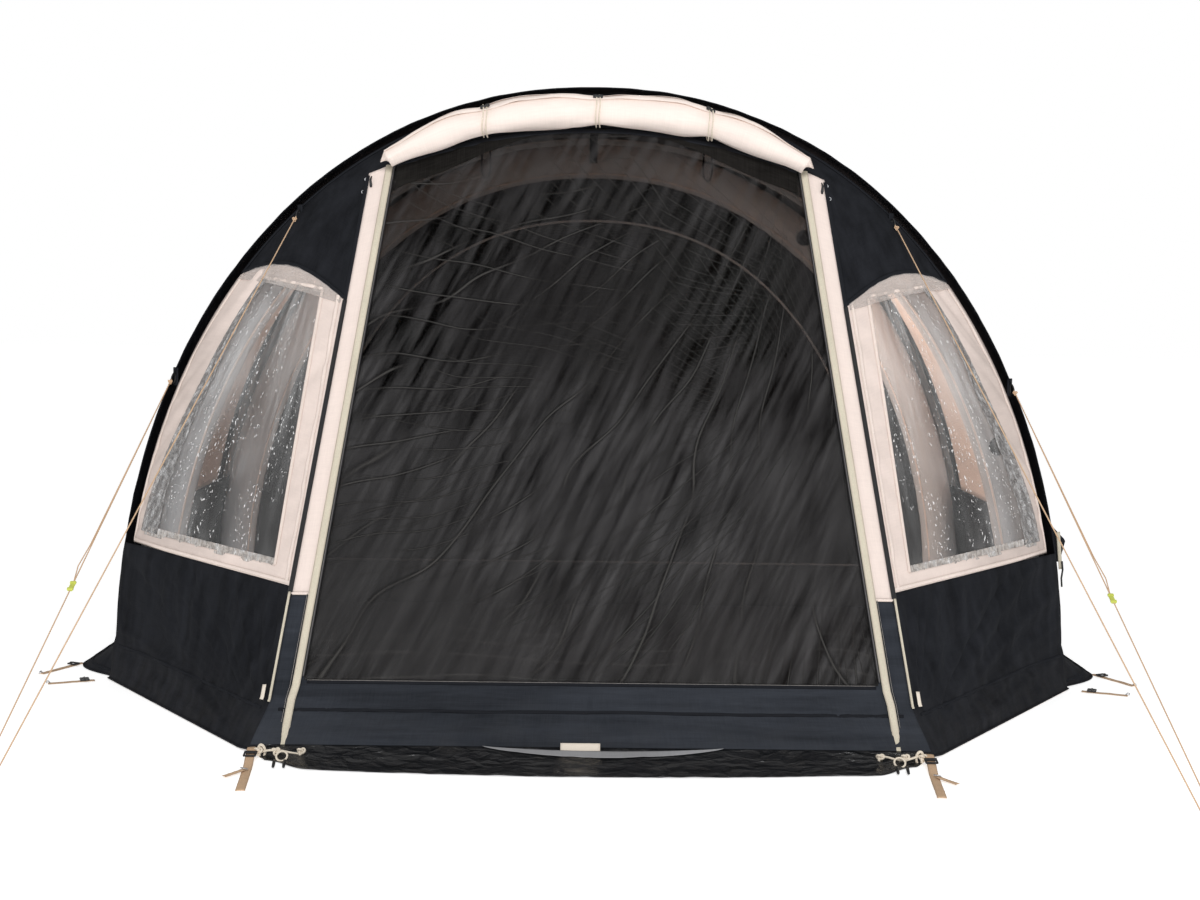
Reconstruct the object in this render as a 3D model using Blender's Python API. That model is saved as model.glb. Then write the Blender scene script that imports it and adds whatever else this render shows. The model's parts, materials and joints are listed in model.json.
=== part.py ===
"""Inflatable tunnel tent: three air arches, cotton canopy, faceted front bay with mesh door.

Metres, +Z up. +X is the right-hand side seen from the front and +Y runs into the tent.
The origin is on the ground, on the centre line, at the front face of the front arch.
"""
import math

import bmesh
import bpy
from mathutils import Matrix, Vector

# The tunnel's outer outline is a rounded arch, |x / half width|^n + |z / height|^n = 1.
HALF_WIDTH = 1.70
HEIGHT = 2.11
ROUNDNESS = 2.123

# Where the arches stand along the tent.
FRONT_ARCH_Y = 0.0
MIDDLE_ARCH_Y = 1.45
REAR_ARCH_Y = 3.60
SLEEVE_WIDTH = 0.20
SLEEVE_THICKNESS = 0.035
MIDDLE_SLEEVE_WIDTH = 0.10
TUBE_RADIUS = 0.075
TUBE_SETBACK = 0.10
TUBE_CLEARANCE = 0.006

# Cloth.
CLOTH = 0.005
PANE = 0.003
GAP = 0.0003
SADDLE = 0.045
BASE_TOP = 0.57

# The bays: sloping three-sided ends, from the arch down to a fold, then out to a hem on the ground.
BAY_TOP = HEIGHT - SLEEVE_THICKNESS
FOLD_Z = 0.15
FRONT_FOLD_RUN = 0.92
FRONT_HEM_RUN = 0.99
REAR_FOLD_RUN = 0.50
REAR_HEM_RUN = 0.57
SEAM_TOP_X = 0.777
SEAM_FOLD_X = 0.965
SEAM_HEM_X = 1.014
ARCH_HEM_X = 1.715
ARCH_HEM_RUN = 0.03
DOOR_TOP = 1.96
DOOR_TOP_DROP = 0.133
DOOR_TOP_DROP_AT = 0.68
STRIP_WIDTH = 0.09
STRIP_BOTTOM = 0.447
SILL_TOP = 0.205
SEAM_MITRE = 0.45
SLOPE_MITRE = 1.11
ARCH_MITRE = 1.3

# Heights on the side facets, as shares of the facet's height.
SIDE_BASE_TOP = 0.262
WINDOW_BOTTOM = 0.288
WINDOW_TOP = 0.769
WINDOW_TOP_MARGIN = 0.006
SIDE_PANEL_TOP = 0.757
SIDE_PANEL_CROWN = 0.035
SIDE_PANEL_RISE = 0.013
WINDOW_SEAM_MARGIN = 0.115
WINDOW_ARCH_MARGIN = 0.08
WINDOW_ARCH_WIDENING = 0.075
WINDOW_WIDE_AT = 0.60

# The rolled-up door over the mesh.
ROLL_RADIUS = 0.060
ROLL_HALF_LENGTH = 0.712
ROLL_TOP = 2.010
ROLL_DROP = 0.183
ROLL_DROP_POWER = 2.4
ROLL_STANDOFF = 0.077
ROLL_TIE_X = 0.383
ROLL_PINCH = 0.018
ROLL_PINCH_WIDTH = 0.07
ROLL_END_TAPER = 0.030
ROLL_TAPER_FROM = 0.55
ROLL_STEPS = 32
ROLL_SIDES = 12

# What lies on or meets the ground.
SKIRT_TOP = 0.14
SKIRT_FLARE = 0.17
SKIRT_FLARE_ENDS = 0.03
SKIRT_FLARE_RUN = 0.22
SKIRT_CURVE = 1.5
SKIRT_HEM_LIFT = 0.003
FLOOR_THICKNESS = 0.005
FLOOR_CLEARANCE = 0.015
FLOOR_HALF_WIDTH = 1.66
FLAP_DEPTH = 0.15
FLAP_TAPER = 0.05
FLAP_THICKNESS = 0.004

# Guying.
PEG_X = 1.49
PEG_REACH = 2.09
PEG_RADIUS = 0.004
PEG_HEIGHT = 0.06
PEG_BEND = 0.045
PEG_HOOK = 0.022
ROPE_RADIUS = 0.002
ROPE_TURN = 0.009
ROPE_HIGH = (1.042, 0.045, 1.643)
ROPE_LOW = (1.487, 0.012, 1.070)
ROPE_END_HEIGHT = 0.030
WEBBING_WIDTH = 0.025
WEBBING_THICKNESS = 0.0025
CORNER_STRAP_INSET = 0.03
CORNER_STRAP_START = 0.012
CORNER_STRAP_RUN = 0.40
CORNER_STRAP_DRIFT = 0.06
FOOT_STRAP = ((1.755, -0.055), (1.90, -0.115))
HEM_STRAP = ((1.885, 0.225), (1.975, 0.035))

# Inner tent.
INNER_WALL_SETBACK = 0.11
INNER_WALL_CLEARANCE = 0.06

# How finely the curved pieces are divided.
ARCH_STEPS = 30
CANOPY_ROWS = 6
BASE_ROWS = 3
BASE_COLUMNS = 12
SKIRT_COLUMNS = 24
FACET_COLUMNS = 3
SLOPE_ROWS = 4
MESH_ROWS = 6
DOOR_COLUMNS = 10
WINDOW_ROWS = 7
STRAP_STEPS = 3
ROPE_STEPS = 8
TUBE_RESOLUTION = 3
WIRE_RESOLUTION = 1
SIDES = ((-1, "left"), (1, "right"))

FABRICS = {
    "dark_cotton": ((0.016, 0.018, 0.023), 0.85),
    "cream_cotton": ((0.80, 0.70, 0.58), 0.80),
    "grey_sleeve": ((0.55, 0.56, 0.57), 0.70),
    "black_mesh": ((0.012, 0.012, 0.013), 0.75),
    "clear_pvc": ((0.78, 0.80, 0.80), 0.10),
    "groundsheet": ((0.045, 0.048, 0.052), 0.55),
    "mud_flap": ((0.015, 0.015, 0.016), 0.30),
    "tan_webbing": ((0.62, 0.43, 0.27), 0.75),
    "steel": ((0.55, 0.56, 0.58), 0.35),
}


def clear_scene():
    for thing in list(bpy.data.objects):
        bpy.data.objects.remove(thing, do_unlink=True)


def make_material(name):
    colour, roughness = FABRICS[name]
    material = bpy.data.materials.new(name)
    material.use_nodes = True
    shader = material.node_tree.nodes["Principled BSDF"]
    shader.inputs["Base Color"].default_value = (*colour, 1.0)
    shader.inputs["Roughness"].default_value = roughness
    shader.inputs["Metallic"].default_value = 1.0 if name == "steel" else 0.0
    return material


def add_object(name, mesh_or_curve, material):
    thing = bpy.data.objects.new(name, mesh_or_curve)
    thing.data.materials.append(make_material(material))
    bpy.context.scene.collection.objects.link(thing)
    return thing


def finish_mesh(name, bm, material, smooth_angle=35.0):
    bmesh.ops.recalc_face_normals(bm, faces=bm.faces)
    if bm.calc_volume(signed=True) < 0.0:
        bmesh.ops.reverse_faces(bm, faces=bm.faces)
    mesh = bpy.data.meshes.new(name)
    bm.to_mesh(mesh)
    bm.free()
    mesh.shade_smooth()
    mesh.set_sharp_from_angle(angle=math.radians(smooth_angle))
    return add_object(name, mesh, material)


def spread(low, high, steps):
    return [low + (high - low) * step / steps for step in range(steps + 1)]


def ease(value, low, high):
    """0 below low, 1 above high, smooth between."""
    share = min(max((value - low) / (high - low), 0.0), 1.0)
    return share * share * (3.0 - 2.0 * share)


def cloth_panel(name, columns, rows, place, material, cut_out=None):
    """A sheet with thickness. place(column, row, inside) gives each corner of its grid;
    cut_out(i, j) is true for a cell that is left open."""
    bm = bmesh.new()
    bmesh.ops.create_grid(bm, x_segments=len(columns) - 1, y_segments=len(rows) - 1, size=0.5)
    column_of = bm.verts.layers.int.new("column")
    row_of = bm.verts.layers.int.new("row")
    for vert in bm.verts:
        vert[column_of] = round((vert.co.x + 0.5) * (len(columns) - 1))
        vert[row_of] = round((vert.co.y + 0.5) * (len(rows) - 1))
    if cut_out:
        holes = [face for face in bm.faces
                 if cut_out(min(v[column_of] for v in face.verts), min(v[row_of] for v in face.verts))]
        bmesh.ops.delete(bm, geom=holes, context="FACES")
    grown = bmesh.ops.extrude_face_region(bm, geom=bm.faces[:])
    inside = {item for item in grown["geom"] if isinstance(item, bmesh.types.BMVert)}
    for vert in bm.verts:
        vert.co = place(columns[vert[column_of]], rows[vert[row_of]], vert in inside)
    return finish_mesh(name, bm, material)


def plate(name, outline, thickness, material):
    """A flat plate: the outline's points, in order, pushed along by the thickness vector."""
    bm = bmesh.new()
    face = bm.faces.new([bm.verts.new(point) for point in outline])
    grown = bmesh.ops.extrude_face_region(bm, geom=[face])
    pushed = [item for item in grown["geom"] if isinstance(item, bmesh.types.BMVert)]
    bmesh.ops.translate(bm, verts=pushed, vec=thickness)
    return finish_mesh(name, bm, material)


def tube(name, points, radius, resolution, material):
    """A round tube with closed ends along the points."""
    curve = bpy.data.curves.new(name, "CURVE")
    curve.dimensions = "3D"
    curve.bevel_depth = radius
    curve.bevel_resolution = resolution
    curve.use_fill_caps = True
    spline = curve.splines.new("POLY")
    spline.points.add(len(points) - 1)
    for point, place in zip(spline.points, points):
        point.co = (*place, 1.0)
    return add_object(name, curve, material)


def strap(name, points, width_direction, material="tan_webbing"):
    """Flat webbing through the points; width_direction is a vector across it."""
    across = Vector(width_direction).normalized() * (WEBBING_WIDTH / 2.0)

    def place(column, row, inside):
        point = Vector(points[row])
        ahead = Vector(points[min(row + 1, len(points) - 1)])
        behind = Vector(points[max(row - 1, 0)])
        face_normal = (ahead - behind).cross(across).normalized()
        lift = face_normal * (WEBBING_THICKNESS if inside else 0.0)
        return point + across * column + lift

    return cloth_panel(name, [-1.0, 1.0], list(range(len(points))), place, material)


# Outline of the tunnel.

def arch_point(angle, inset):
    """Point on the arch outline, from 0 at the right foot to pi at the left foot."""
    power = 2.0 / ROUNDNESS
    x = (HALF_WIDTH - inset) * math.copysign(abs(math.cos(angle)) ** power, math.cos(angle))
    z = (HEIGHT - inset) * abs(math.sin(angle)) ** power
    return x, z


def arch_angle(z, inset=0.0):
    return math.asin(min(1.0, z / (HEIGHT - inset)) ** (ROUNDNESS / 2.0))


def arch_x(z, inset):
    return (HALF_WIDTH - inset) * (1.0 - (z / (HEIGHT - inset)) ** ROUNDNESS) ** (1.0 / ROUNDNESS)


def arch_z(x, inset):
    return (HEIGHT - inset) * (1.0 - abs(x / (HALF_WIDTH - inset)) ** ROUNDNESS) ** (1.0 / ROUNDNESS)


def saddle(angle, y):
    """How far the cloth dips between two arches, most at the ridge."""
    if y < MIDDLE_ARCH_Y:
        along = (y - SLEEVE_WIDTH) / (MIDDLE_ARCH_Y - MIDDLE_SLEEVE_WIDTH / 2.0 - SLEEVE_WIDTH)
    else:
        start = MIDDLE_ARCH_Y + MIDDLE_SLEEVE_WIDTH / 2.0
        along = (y - start) / (REAR_ARCH_Y - SLEEVE_WIDTH - start)
    along = min(max(along, 0.0), 1.0)
    return SADDLE * math.sin(math.pi * along) * math.sin(angle)


def skin_point(angle, y, inset):
    x, z = arch_point(angle, inset + saddle(angle, y))
    return Vector((x, y, z))


# Tunnel pieces.

def make_air_tube(name, arch_y):
    inset = SLEEVE_THICKNESS + TUBE_RADIUS + TUBE_CLEARANCE
    floor = FLOOR_THICKNESS + GAP
    start = arch_angle(TUBE_RADIUS, inset)
    bend = [arch_point(angle, inset) for angle in spread(start, math.pi - start, ARCH_STEPS)]
    right_foot = (bend[0][0], floor)
    left_foot = (bend[-1][0], floor)
    points = [Vector((x, arch_y, z)) for x, z in [right_foot] + bend + [left_foot]]
    return tube(name, points, TUBE_RADIUS, TUBE_RESOLUTION, "grey_sleeve")


def make_sleeve(name, y_from, y_to, thickness, foot):
    start = arch_angle(foot)

    def place(angle, y, inside):
        x, z = arch_point(angle, thickness if inside else 0.0)
        if angle in (angles[0], angles[-1]):
            z = foot
        return Vector((x, y, z))

    angles = spread(start, math.pi - start, ARCH_STEPS)
    return cloth_panel(name, angles, [y_from, y_to], place, "dark_cotton")


def make_canopy(name, y_from, y_to):
    start = arch_angle(BASE_TOP + GAP)
    angles = spread(start, math.pi - start, ARCH_STEPS)
    rows = spread(y_from + GAP, y_to - GAP, CANOPY_ROWS)

    def place(angle, y, inside):
        point = skin_point(angle, y, CLOTH if inside else 0.0)
        if angle in (angles[0], angles[-1]):
            point.z = BASE_TOP + GAP
        return point

    return cloth_panel(name, angles, rows, place, "cream_cotton")


def make_base_panel(name, side):
    heights = spread(0.0, BASE_TOP - GAP, BASE_ROWS)
    rows = spread(SLEEVE_WIDTH + GAP, REAR_ARCH_Y - SLEEVE_WIDTH - GAP, BASE_COLUMNS)

    def place(z, y, inside):
        angle = arch_angle(z)
        point = skin_point(angle, y, CLOTH if inside else 0.0)
        return Vector((side * point.x, y, z))

    return cloth_panel(name, heights, rows, place, "dark_cotton")


def make_skirt(name, side):
    """The loose lower edge that flares out to the pegs."""
    rows = spread(GAP, REAR_ARCH_Y - GAP, SKIRT_COLUMNS)

    def flare(y):
        from_end = min(y, REAR_ARCH_Y - y)
        share = min(1.0, from_end / SKIRT_FLARE_RUN)
        return SKIRT_FLARE_ENDS + (SKIRT_FLARE - SKIRT_FLARE_ENDS) * math.sin(share * math.pi / 2.0)

    def place(down, y, inside):
        z = SKIRT_TOP * (1.0 - down)
        x = HALF_WIDTH + 2.0 * GAP + flare(y) * down ** SKIRT_CURVE
        if inside:
            return Vector((side * x, y, z))
        return Vector((side * (x + CLOTH), y, z + SKIRT_HEM_LIFT * down))

    return cloth_panel(name, [0.0, 0.5, 1.0], rows, place, "dark_cotton")


# The bays. Each horizontal cut is a trapezoid: arch foot, corner seam, corner seam, arch foot.

def slope_y(bay, z, depth=0.0):
    """Where the bay's sloping front stands at height z, moved inwards by depth."""
    arch_y, fold_run, hem_run, direction = bay
    if z >= FOLD_Z:
        run = fold_run * (BAY_TOP - z) / (BAY_TOP - FOLD_Z)
    else:
        run = fold_run + (hem_run - fold_run) * (1.0 - z / FOLD_Z)
    return arch_y + direction * (run - depth * SLOPE_MITRE)


def door_top(x):
    return DOOR_TOP - DOOR_TOP_DROP * (x / DOOR_TOP_DROP_AT) ** 2


def slope_line_x(offset, z):
    """Half width, at height z, of the line that runs down the slope beside the corner seam."""
    if z < FOLD_Z:
        return SEAM_FOLD_X - offset + (SEAM_HEM_X - SEAM_FOLD_X) * (1.0 - z / FOLD_Z)
    top_x = SEAM_TOP_X - offset
    top_z = door_top(top_x)
    return top_x + (SEAM_FOLD_X - SEAM_TOP_X) * (top_z - z) / (top_z - FOLD_Z)


SEAM_TOP_Z = door_top(SEAM_TOP_X)
ARCH_TOP_Z = arch_z(SEAM_TOP_X, SLEEVE_THICKNESS)
FOLD_SHARE = FOLD_Z / SEAM_TOP_Z
DOOR_HALF_TOP = SEAM_TOP_X - STRIP_WIDTH
DOOR_TOP_STOPS = [-SEAM_TOP_X] + spread(-DOOR_HALF_TOP, DOOR_HALF_TOP, DOOR_COLUMNS) + [SEAM_TOP_X]
FRONT_BAY = (FRONT_ARCH_Y, FRONT_FOLD_RUN, FRONT_HEM_RUN, -1.0)
REAR_BAY = (REAR_ARCH_Y, REAR_FOLD_RUN, REAR_HEM_RUN, 1.0)


def seam_point(bay, side, z, depth):
    x = slope_line_x(0.0, z) + GAP - depth * SEAM_MITRE
    return Vector((side * x, slope_y(bay, z, depth), z))


def arch_edge_point(bay, side, share, depth):
    arch_y, fold_run, hem_run, direction = bay
    z = share * ARCH_TOP_Z
    x = arch_x(z, SLEEVE_THICKNESS + GAP + depth * ARCH_MITRE)
    below_fold = max(0.0, 1.0 - share / FOLD_SHARE)
    x += (ARCH_HEM_X - HALF_WIDTH + SLEEVE_THICKNESS) * below_fold
    return Vector((side * x, arch_y + direction * (GAP + ARCH_HEM_RUN * below_fold), z))


def side_facet_point(bay, side, across, share, depth):
    """across runs 0 to 1 from the seam to the arch; share runs 0 to 1 from the ground to the top."""
    seam = seam_point(bay, side, share * SEAM_TOP_Z, depth)
    edge = arch_edge_point(bay, side, share, depth)
    return seam.lerp(edge, across)


def side_columns(bay, share):
    """Shares across the facet: the seam, the window's two edges and middle, and the arch."""
    seam = seam_point(bay, 1, share * SEAM_TOP_Z, 0.0)
    edge = arch_edge_point(bay, 1, share, 0.0)
    width = (edge - seam).length
    inner = WINDOW_SEAM_MARGIN / width
    widening = WINDOW_ARCH_WIDENING * ease(share, WINDOW_BOTTOM, WINDOW_WIDE_AT)
    outer = 1.0 - (WINDOW_ARCH_MARGIN + widening) / width
    return [0.0, inner, (inner + outer) / 2.0, outer, 1.0]


def side_panel_top(across):
    """The crowned upper edge of the cream side panel, as a share of the facet's height."""
    return SIDE_PANEL_TOP + SIDE_PANEL_RISE * across + SIDE_PANEL_CROWN * math.sin(math.pi * across)


def make_side_base(name, bay, side):
    rows = [0.0, FOLD_SHARE, (FOLD_SHARE + SIDE_BASE_TOP) / 2.0, SIDE_BASE_TOP - GAP]

    def place(across, share, inside):
        return side_facet_point(bay, side, across, share, CLOTH if inside else 0.0)

    return cloth_panel(name, spread(0.0, 1.0, FACET_COLUMNS), rows, place, "dark_cotton")


def make_side_panel(name, bay, side, has_window):
    """The cream panel of a side facet, with the hole for its window if it has one."""
    window_rows = spread(WINDOW_BOTTOM, WINDOW_TOP, WINDOW_ROWS)
    rows = [SIDE_BASE_TOP] + window_rows + [SIDE_PANEL_TOP]

    def place(column, share, inside):
        across = side_columns(bay, share)[column]
        if share == rows[0]:
            share += GAP
        elif share == WINDOW_TOP:
            share = min(share, side_panel_top(across) - WINDOW_TOP_MARGIN)
        elif share == rows[-1]:
            share = side_panel_top(across) - GAP
        return side_facet_point(bay, side, across, share, CLOTH if inside else 0.0)

    def is_window(column, row):
        return has_window and column in (1, 2) and 1 <= row <= WINDOW_ROWS

    return cloth_panel(name, [0, 1, 2, 3, 4], rows, place, "cream_cotton", is_window)


def make_window(name, bay, side):
    rows = spread(WINDOW_BOTTOM + GAP, WINDOW_TOP - GAP, WINDOW_ROWS)
    clearance = 2.0 * GAP

    def place(column, share, inside):
        across = side_columns(bay, share)[column]
        across += {1: clearance, 2: 0.0, 3: -clearance}[column]
        return side_facet_point(bay, side, across, share, PANE if inside else 0.0)

    return cloth_panel(name, [1, 2, 3], rows, place, "clear_pvc")


def make_upper_panel(name, bay):
    """The dark strip between the sleeve and the door and windows, from one side over to the other."""
    arch_y, fold_run, hem_run, direction = bay
    stations = [("side", -1, climb) for climb in spread(0.0, 1.0, SLOPE_ROWS)]
    stations += [("top", 0, x) for x in DOOR_TOP_STOPS[1:-1]]
    stations += [("side", 1, climb) for climb in spread(1.0, 0.0, SLOPE_ROWS)]
    columns = side_columns(bay, SIDE_PANEL_TOP)

    def place(index, across, inside):
        kind, side, value = stations[index]
        depth = CLOTH if inside else 0.0
        if kind == "side":
            low = side_panel_top(across) + GAP
            return side_facet_point(bay, side, across, low + (1.0 - low) * value, depth)
        lower_z = door_top(value) + GAP
        lower = Vector((value, slope_y(bay, lower_z, depth), lower_z))
        upper_z = arch_z(value, SLEEVE_THICKNESS + GAP + depth * ARCH_MITRE)
        upper = Vector((value, arch_y + direction * GAP, upper_z))
        return lower.lerp(upper, across)

    return cloth_panel(name, list(range(len(stations))), columns, place, "dark_cotton")


def make_door_strip(name, bay, side):
    """The cream strip between the corner seam and the mesh."""
    def place(offset, share, inside):
        depth = CLOTH if inside else 0.0
        top_z = door_top(SEAM_TOP_X - offset)
        z = STRIP_BOTTOM + GAP + (top_z - GAP - STRIP_BOTTOM) * share
        x = slope_line_x(offset, z) - (GAP + depth * SEAM_MITRE if offset == 0.0 else 0.0)
        return Vector((side * x, slope_y(bay, z, depth), z))

    return cloth_panel(name, [0.0, STRIP_WIDTH], spread(0.0, 1.0, SLOPE_ROWS), place, "cream_cotton")


def make_mesh_door(name, bay):
    edge = STRIP_WIDTH + GAP

    def place(across, share, inside):
        top_z = door_top(across * (SEAM_TOP_X - edge))
        z = SILL_TOP + GAP + (top_z - GAP - SILL_TOP) * share
        return Vector((across * slope_line_x(edge, z), slope_y(bay, z, CLOTH if inside else 0.0), z))

    columns = spread(-1.0, 1.0, DOOR_COLUMNS)
    return cloth_panel(name, columns, spread(0.0, 1.0, MESH_ROWS), place, "black_mesh")


def make_sill_panel(name, bay):
    """The dark panel below the door, with a riser beside each edge of the mesh."""
    rows = [0.0, FOLD_Z, SILL_TOP, STRIP_BOTTOM - GAP]

    def place(column, z, inside):
        depth = CLOTH if inside else 0.0
        if abs(column) == 2:
            x = slope_line_x(0.0, z) - GAP - depth * SEAM_MITRE
        else:
            x = slope_line_x(STRIP_WIDTH, z)
        return Vector((math.copysign(x, column), slope_y(bay, z, depth), z))

    def is_doorway(column, row):
        return column == 1 and row == 2

    return cloth_panel(name, [-2, -1, 1, 2], rows, place, "dark_cotton", is_doorway)


def make_rear_centre(name, bay):
    def place(across, share, inside):
        depth = CLOTH if inside else 0.0
        top_z = door_top(across * SEAM_TOP_X)
        z = STRIP_BOTTOM + GAP + (top_z - GAP - STRIP_BOTTOM) * share
        x = across * (slope_line_x(0.0, z) - GAP - depth * SEAM_MITRE)
        return Vector((x, slope_y(bay, z, depth), z))

    columns = [x / SEAM_TOP_X for x in DOOR_TOP_STOPS]
    return cloth_panel(name, columns, spread(0.0, 1.0, SLOPE_ROWS), place, "cream_cotton")


def make_rear_base(name, bay):
    def place(across, z, inside):
        depth = CLOTH if inside else 0.0
        x = across * (slope_line_x(0.0, z) - GAP - depth * SEAM_MITRE)
        return Vector((x, slope_y(bay, z, depth), z))

    rows = [0.0, FOLD_Z, STRIP_BOTTOM - GAP]
    return cloth_panel(name, spread(-1.0, 1.0, FACET_COLUMNS), rows, place, "dark_cotton")


def roll_radius(x):
    pinch = sum(math.exp(-((x - tie) / ROLL_PINCH_WIDTH) ** 2) for tie in (-ROLL_TIE_X, 0.0, ROLL_TIE_X))
    end = ease(abs(x) / ROLL_HALF_LENGTH, ROLL_TAPER_FROM, 1.0)
    return ROLL_RADIUS - ROLL_PINCH * pinch - ROLL_END_TAPER * end


def make_rolled_door(name, bay):
    """The solid door rolled up over the mesh, drawn in at its three ties."""
    bm = bmesh.new()
    loops = []
    for x in spread(-ROLL_HALF_LENGTH, ROLL_HALF_LENGTH, ROLL_STEPS):
        z = ROLL_TOP - ROLL_DROP * abs(x / ROLL_HALF_LENGTH) ** ROLL_DROP_POWER
        centre = Vector((x, slope_y(bay, z) - ROLL_STANDOFF, z))
        spoke = Vector((0.0, 0.0, roll_radius(x)))
        turns = [Matrix.Rotation(2.0 * math.pi * step / ROLL_SIDES, 3, "X") for step in range(ROLL_SIDES)]
        ring = [bm.verts.new(centre + turn @ spoke) for turn in turns]
        loops.append([bm.edges.new((ring[i - 1], ring[i])) for i in range(ROLL_SIDES)])
    for left, right in zip(loops, loops[1:]):
        bmesh.ops.bridge_loops(bm, edges=left + right)
    bmesh.ops.holes_fill(bm, edges=bm.edges, sides=ROLL_SIDES)
    return finish_mesh(name, bm, "cream_cotton")


# Ground, inner tent and guying.

def make_groundsheet(name):
    front = -FRONT_FOLD_RUN + FLOOR_CLEARANCE
    rear = REAR_ARCH_Y + REAR_FOLD_RUN - FLOOR_CLEARANCE
    corner = SEAM_FOLD_X - FLOOR_CLEARANCE
    foot = FLOOR_HALF_WIDTH - FLOOR_CLEARANCE
    half = [(corner, front), (foot, FRONT_ARCH_Y), (FLOOR_HALF_WIDTH, SLEEVE_WIDTH),
            (FLOOR_HALF_WIDTH, REAR_ARCH_Y - SLEEVE_WIDTH), (foot, REAR_ARCH_Y), (corner, rear)]
    outline = half + [(-x, y) for x, y in reversed(half)]
    return plate(name, [(x, y, 0.0) for x, y in outline], (0.0, 0.0, FLOOR_THICKNESS), "groundsheet")


def make_mud_flap(name):
    near = -FRONT_HEM_RUN - GAP
    far = near - FLAP_DEPTH
    wide = SEAM_HEM_X - GAP
    narrow = wide - FLAP_TAPER
    outline = [(-wide, near, 0.0), (-narrow, far, 0.0), (narrow, far, 0.0), (wide, near, 0.0)]
    return plate(name, outline, (0.0, 0.0, FLAP_THICKNESS), "mud_flap")


def make_inner_wall(name):
    """The dark front wall of the inner tent, hung behind the middle arch."""
    front = MIDDLE_ARCH_Y + INNER_WALL_SETBACK
    bottom = FLOOR_THICKNESS + GAP
    start = arch_angle(bottom, INNER_WALL_CLEARANCE)
    points = [arch_point(angle, INNER_WALL_CLEARANCE) for angle in spread(start, math.pi - start, ARCH_STEPS)]
    outline = [(x, front, max(z, bottom)) for x, z in points]
    return plate(name, outline, (0.0, CLOTH, 0.0), "dark_cotton")


def make_guy_rope(name, bay, side):
    """One rope from the upper loop, round the peg and back up to the lower loop."""
    arch_y, fold_run, hem_run, direction = bay
    peg = Vector((side * PEG_X, arch_y + direction * PEG_REACH, ROPE_END_HEIGHT))
    ends = [Vector((side * x, arch_y + direction * y, z)) for x, y, z in (ROPE_HIGH, ROPE_LOW)]
    beside = [peg + Vector((shift, 0.0, 0.0)) for shift in (-side * ROPE_TURN, side * ROPE_TURN)]
    down = [ends[0].lerp(beside[0], share) for share in spread(0.0, 1.0, ROPE_STEPS)]
    up = [beside[1].lerp(ends[1], share) for share in spread(0.0, 1.0, ROPE_STEPS)]
    turn = [peg + Vector((0.0, direction * ROPE_TURN, 0.0))]
    return tube(name, down + turn + up, ROPE_RADIUS, WIRE_RESOLUTION, "tan_webbing")


def make_peg(name, bay, side):
    """What shows of a steel peg: its shank from the ground up and its hooked head."""
    arch_y, fold_run, hem_run, direction = bay
    foot = Vector((side * PEG_X, arch_y + direction * (PEG_REACH - ROPE_TURN / 2.0), 0.0))
    rises = [(0.0, 0.0), (0.0, PEG_BEND), (0.0, PEG_HEIGHT), (direction * PEG_HOOK, PEG_HEIGHT)]
    points = [foot + Vector((0.0, y, z)) for y, z in rises]
    return tube(name, points, PEG_RADIUS, WIRE_RESOLUTION, "steel")


def make_corner_strap(name, bay, side):
    """Webbing that pulls the corner of a bay out to its peg, flat along the ground."""
    arch_y, fold_run, hem_run, direction = bay
    flap = FLAP_DEPTH if direction < 0.0 else 0.0
    start_x = SEAM_HEM_X - CORNER_STRAP_INSET
    start_run = hem_run + flap + CORNER_STRAP_START
    start = Vector((side * start_x, arch_y + direction * start_run, 0.0))
    end_x = start_x - CORNER_STRAP_DRIFT
    end = Vector((side * end_x, arch_y + direction * (hem_run + CORNER_STRAP_RUN), 0.0))
    points = [start.lerp(end, share) for share in spread(0.0, 1.0, STRAP_STEPS)]
    return strap(name, points, (-direction, 0.0, 0.0))


def make_side_strap(name, bay, side, ends):
    """Webbing from the side hem to its peg."""
    arch_y, fold_run, hem_run, direction = bay
    start, end = [Vector((side * x, arch_y - direction * y, 0.0)) for x, y in ends]
    points = [start.lerp(end, share) for share in spread(0.0, 1.0, STRAP_STEPS)]
    across = (end - start).cross(Vector((0.0, 0.0, -1.0)))
    return strap(name, points, across)


def make_tunnel():
    make_air_tube("front_air_tube", FRONT_ARCH_Y + TUBE_SETBACK)
    make_air_tube("middle_air_tube", MIDDLE_ARCH_Y)
    make_air_tube("rear_air_tube", REAR_ARCH_Y - TUBE_SETBACK)
    make_sleeve("front_arch_sleeve", FRONT_ARCH_Y, SLEEVE_WIDTH, SLEEVE_THICKNESS, 0.0)
    make_sleeve("rear_arch_sleeve", REAR_ARCH_Y - SLEEVE_WIDTH, REAR_ARCH_Y, SLEEVE_THICKNESS, 0.0)
    half = MIDDLE_SLEEVE_WIDTH / 2.0
    make_sleeve("middle_arch_band", MIDDLE_ARCH_Y - half, MIDDLE_ARCH_Y + half, CLOTH, BASE_TOP + GAP)
    make_canopy("living_canopy", SLEEVE_WIDTH, MIDDLE_ARCH_Y - half)
    make_canopy("bedroom_canopy", MIDDLE_ARCH_Y + half, REAR_ARCH_Y - SLEEVE_WIDTH)
    for side, word in SIDES:
        make_base_panel(f"base_panel_{word}", side)
        make_skirt(f"skirt_{word}", side)


def make_front_bay():
    make_upper_panel("front_upper_panel", FRONT_BAY)
    make_mesh_door("mesh_door", FRONT_BAY)
    make_sill_panel("front_sill_panel", FRONT_BAY)
    make_rolled_door("rolled_door", FRONT_BAY)
    make_mud_flap("front_mud_flap")
    for side, word in SIDES:
        make_side_base(f"front_base_{word}", FRONT_BAY, side)
        make_side_panel(f"window_panel_{word}", FRONT_BAY, side, True)
        make_window(f"clear_window_{word}", FRONT_BAY, side)
        make_door_strip(f"door_strip_{word}", FRONT_BAY, side)


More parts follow.
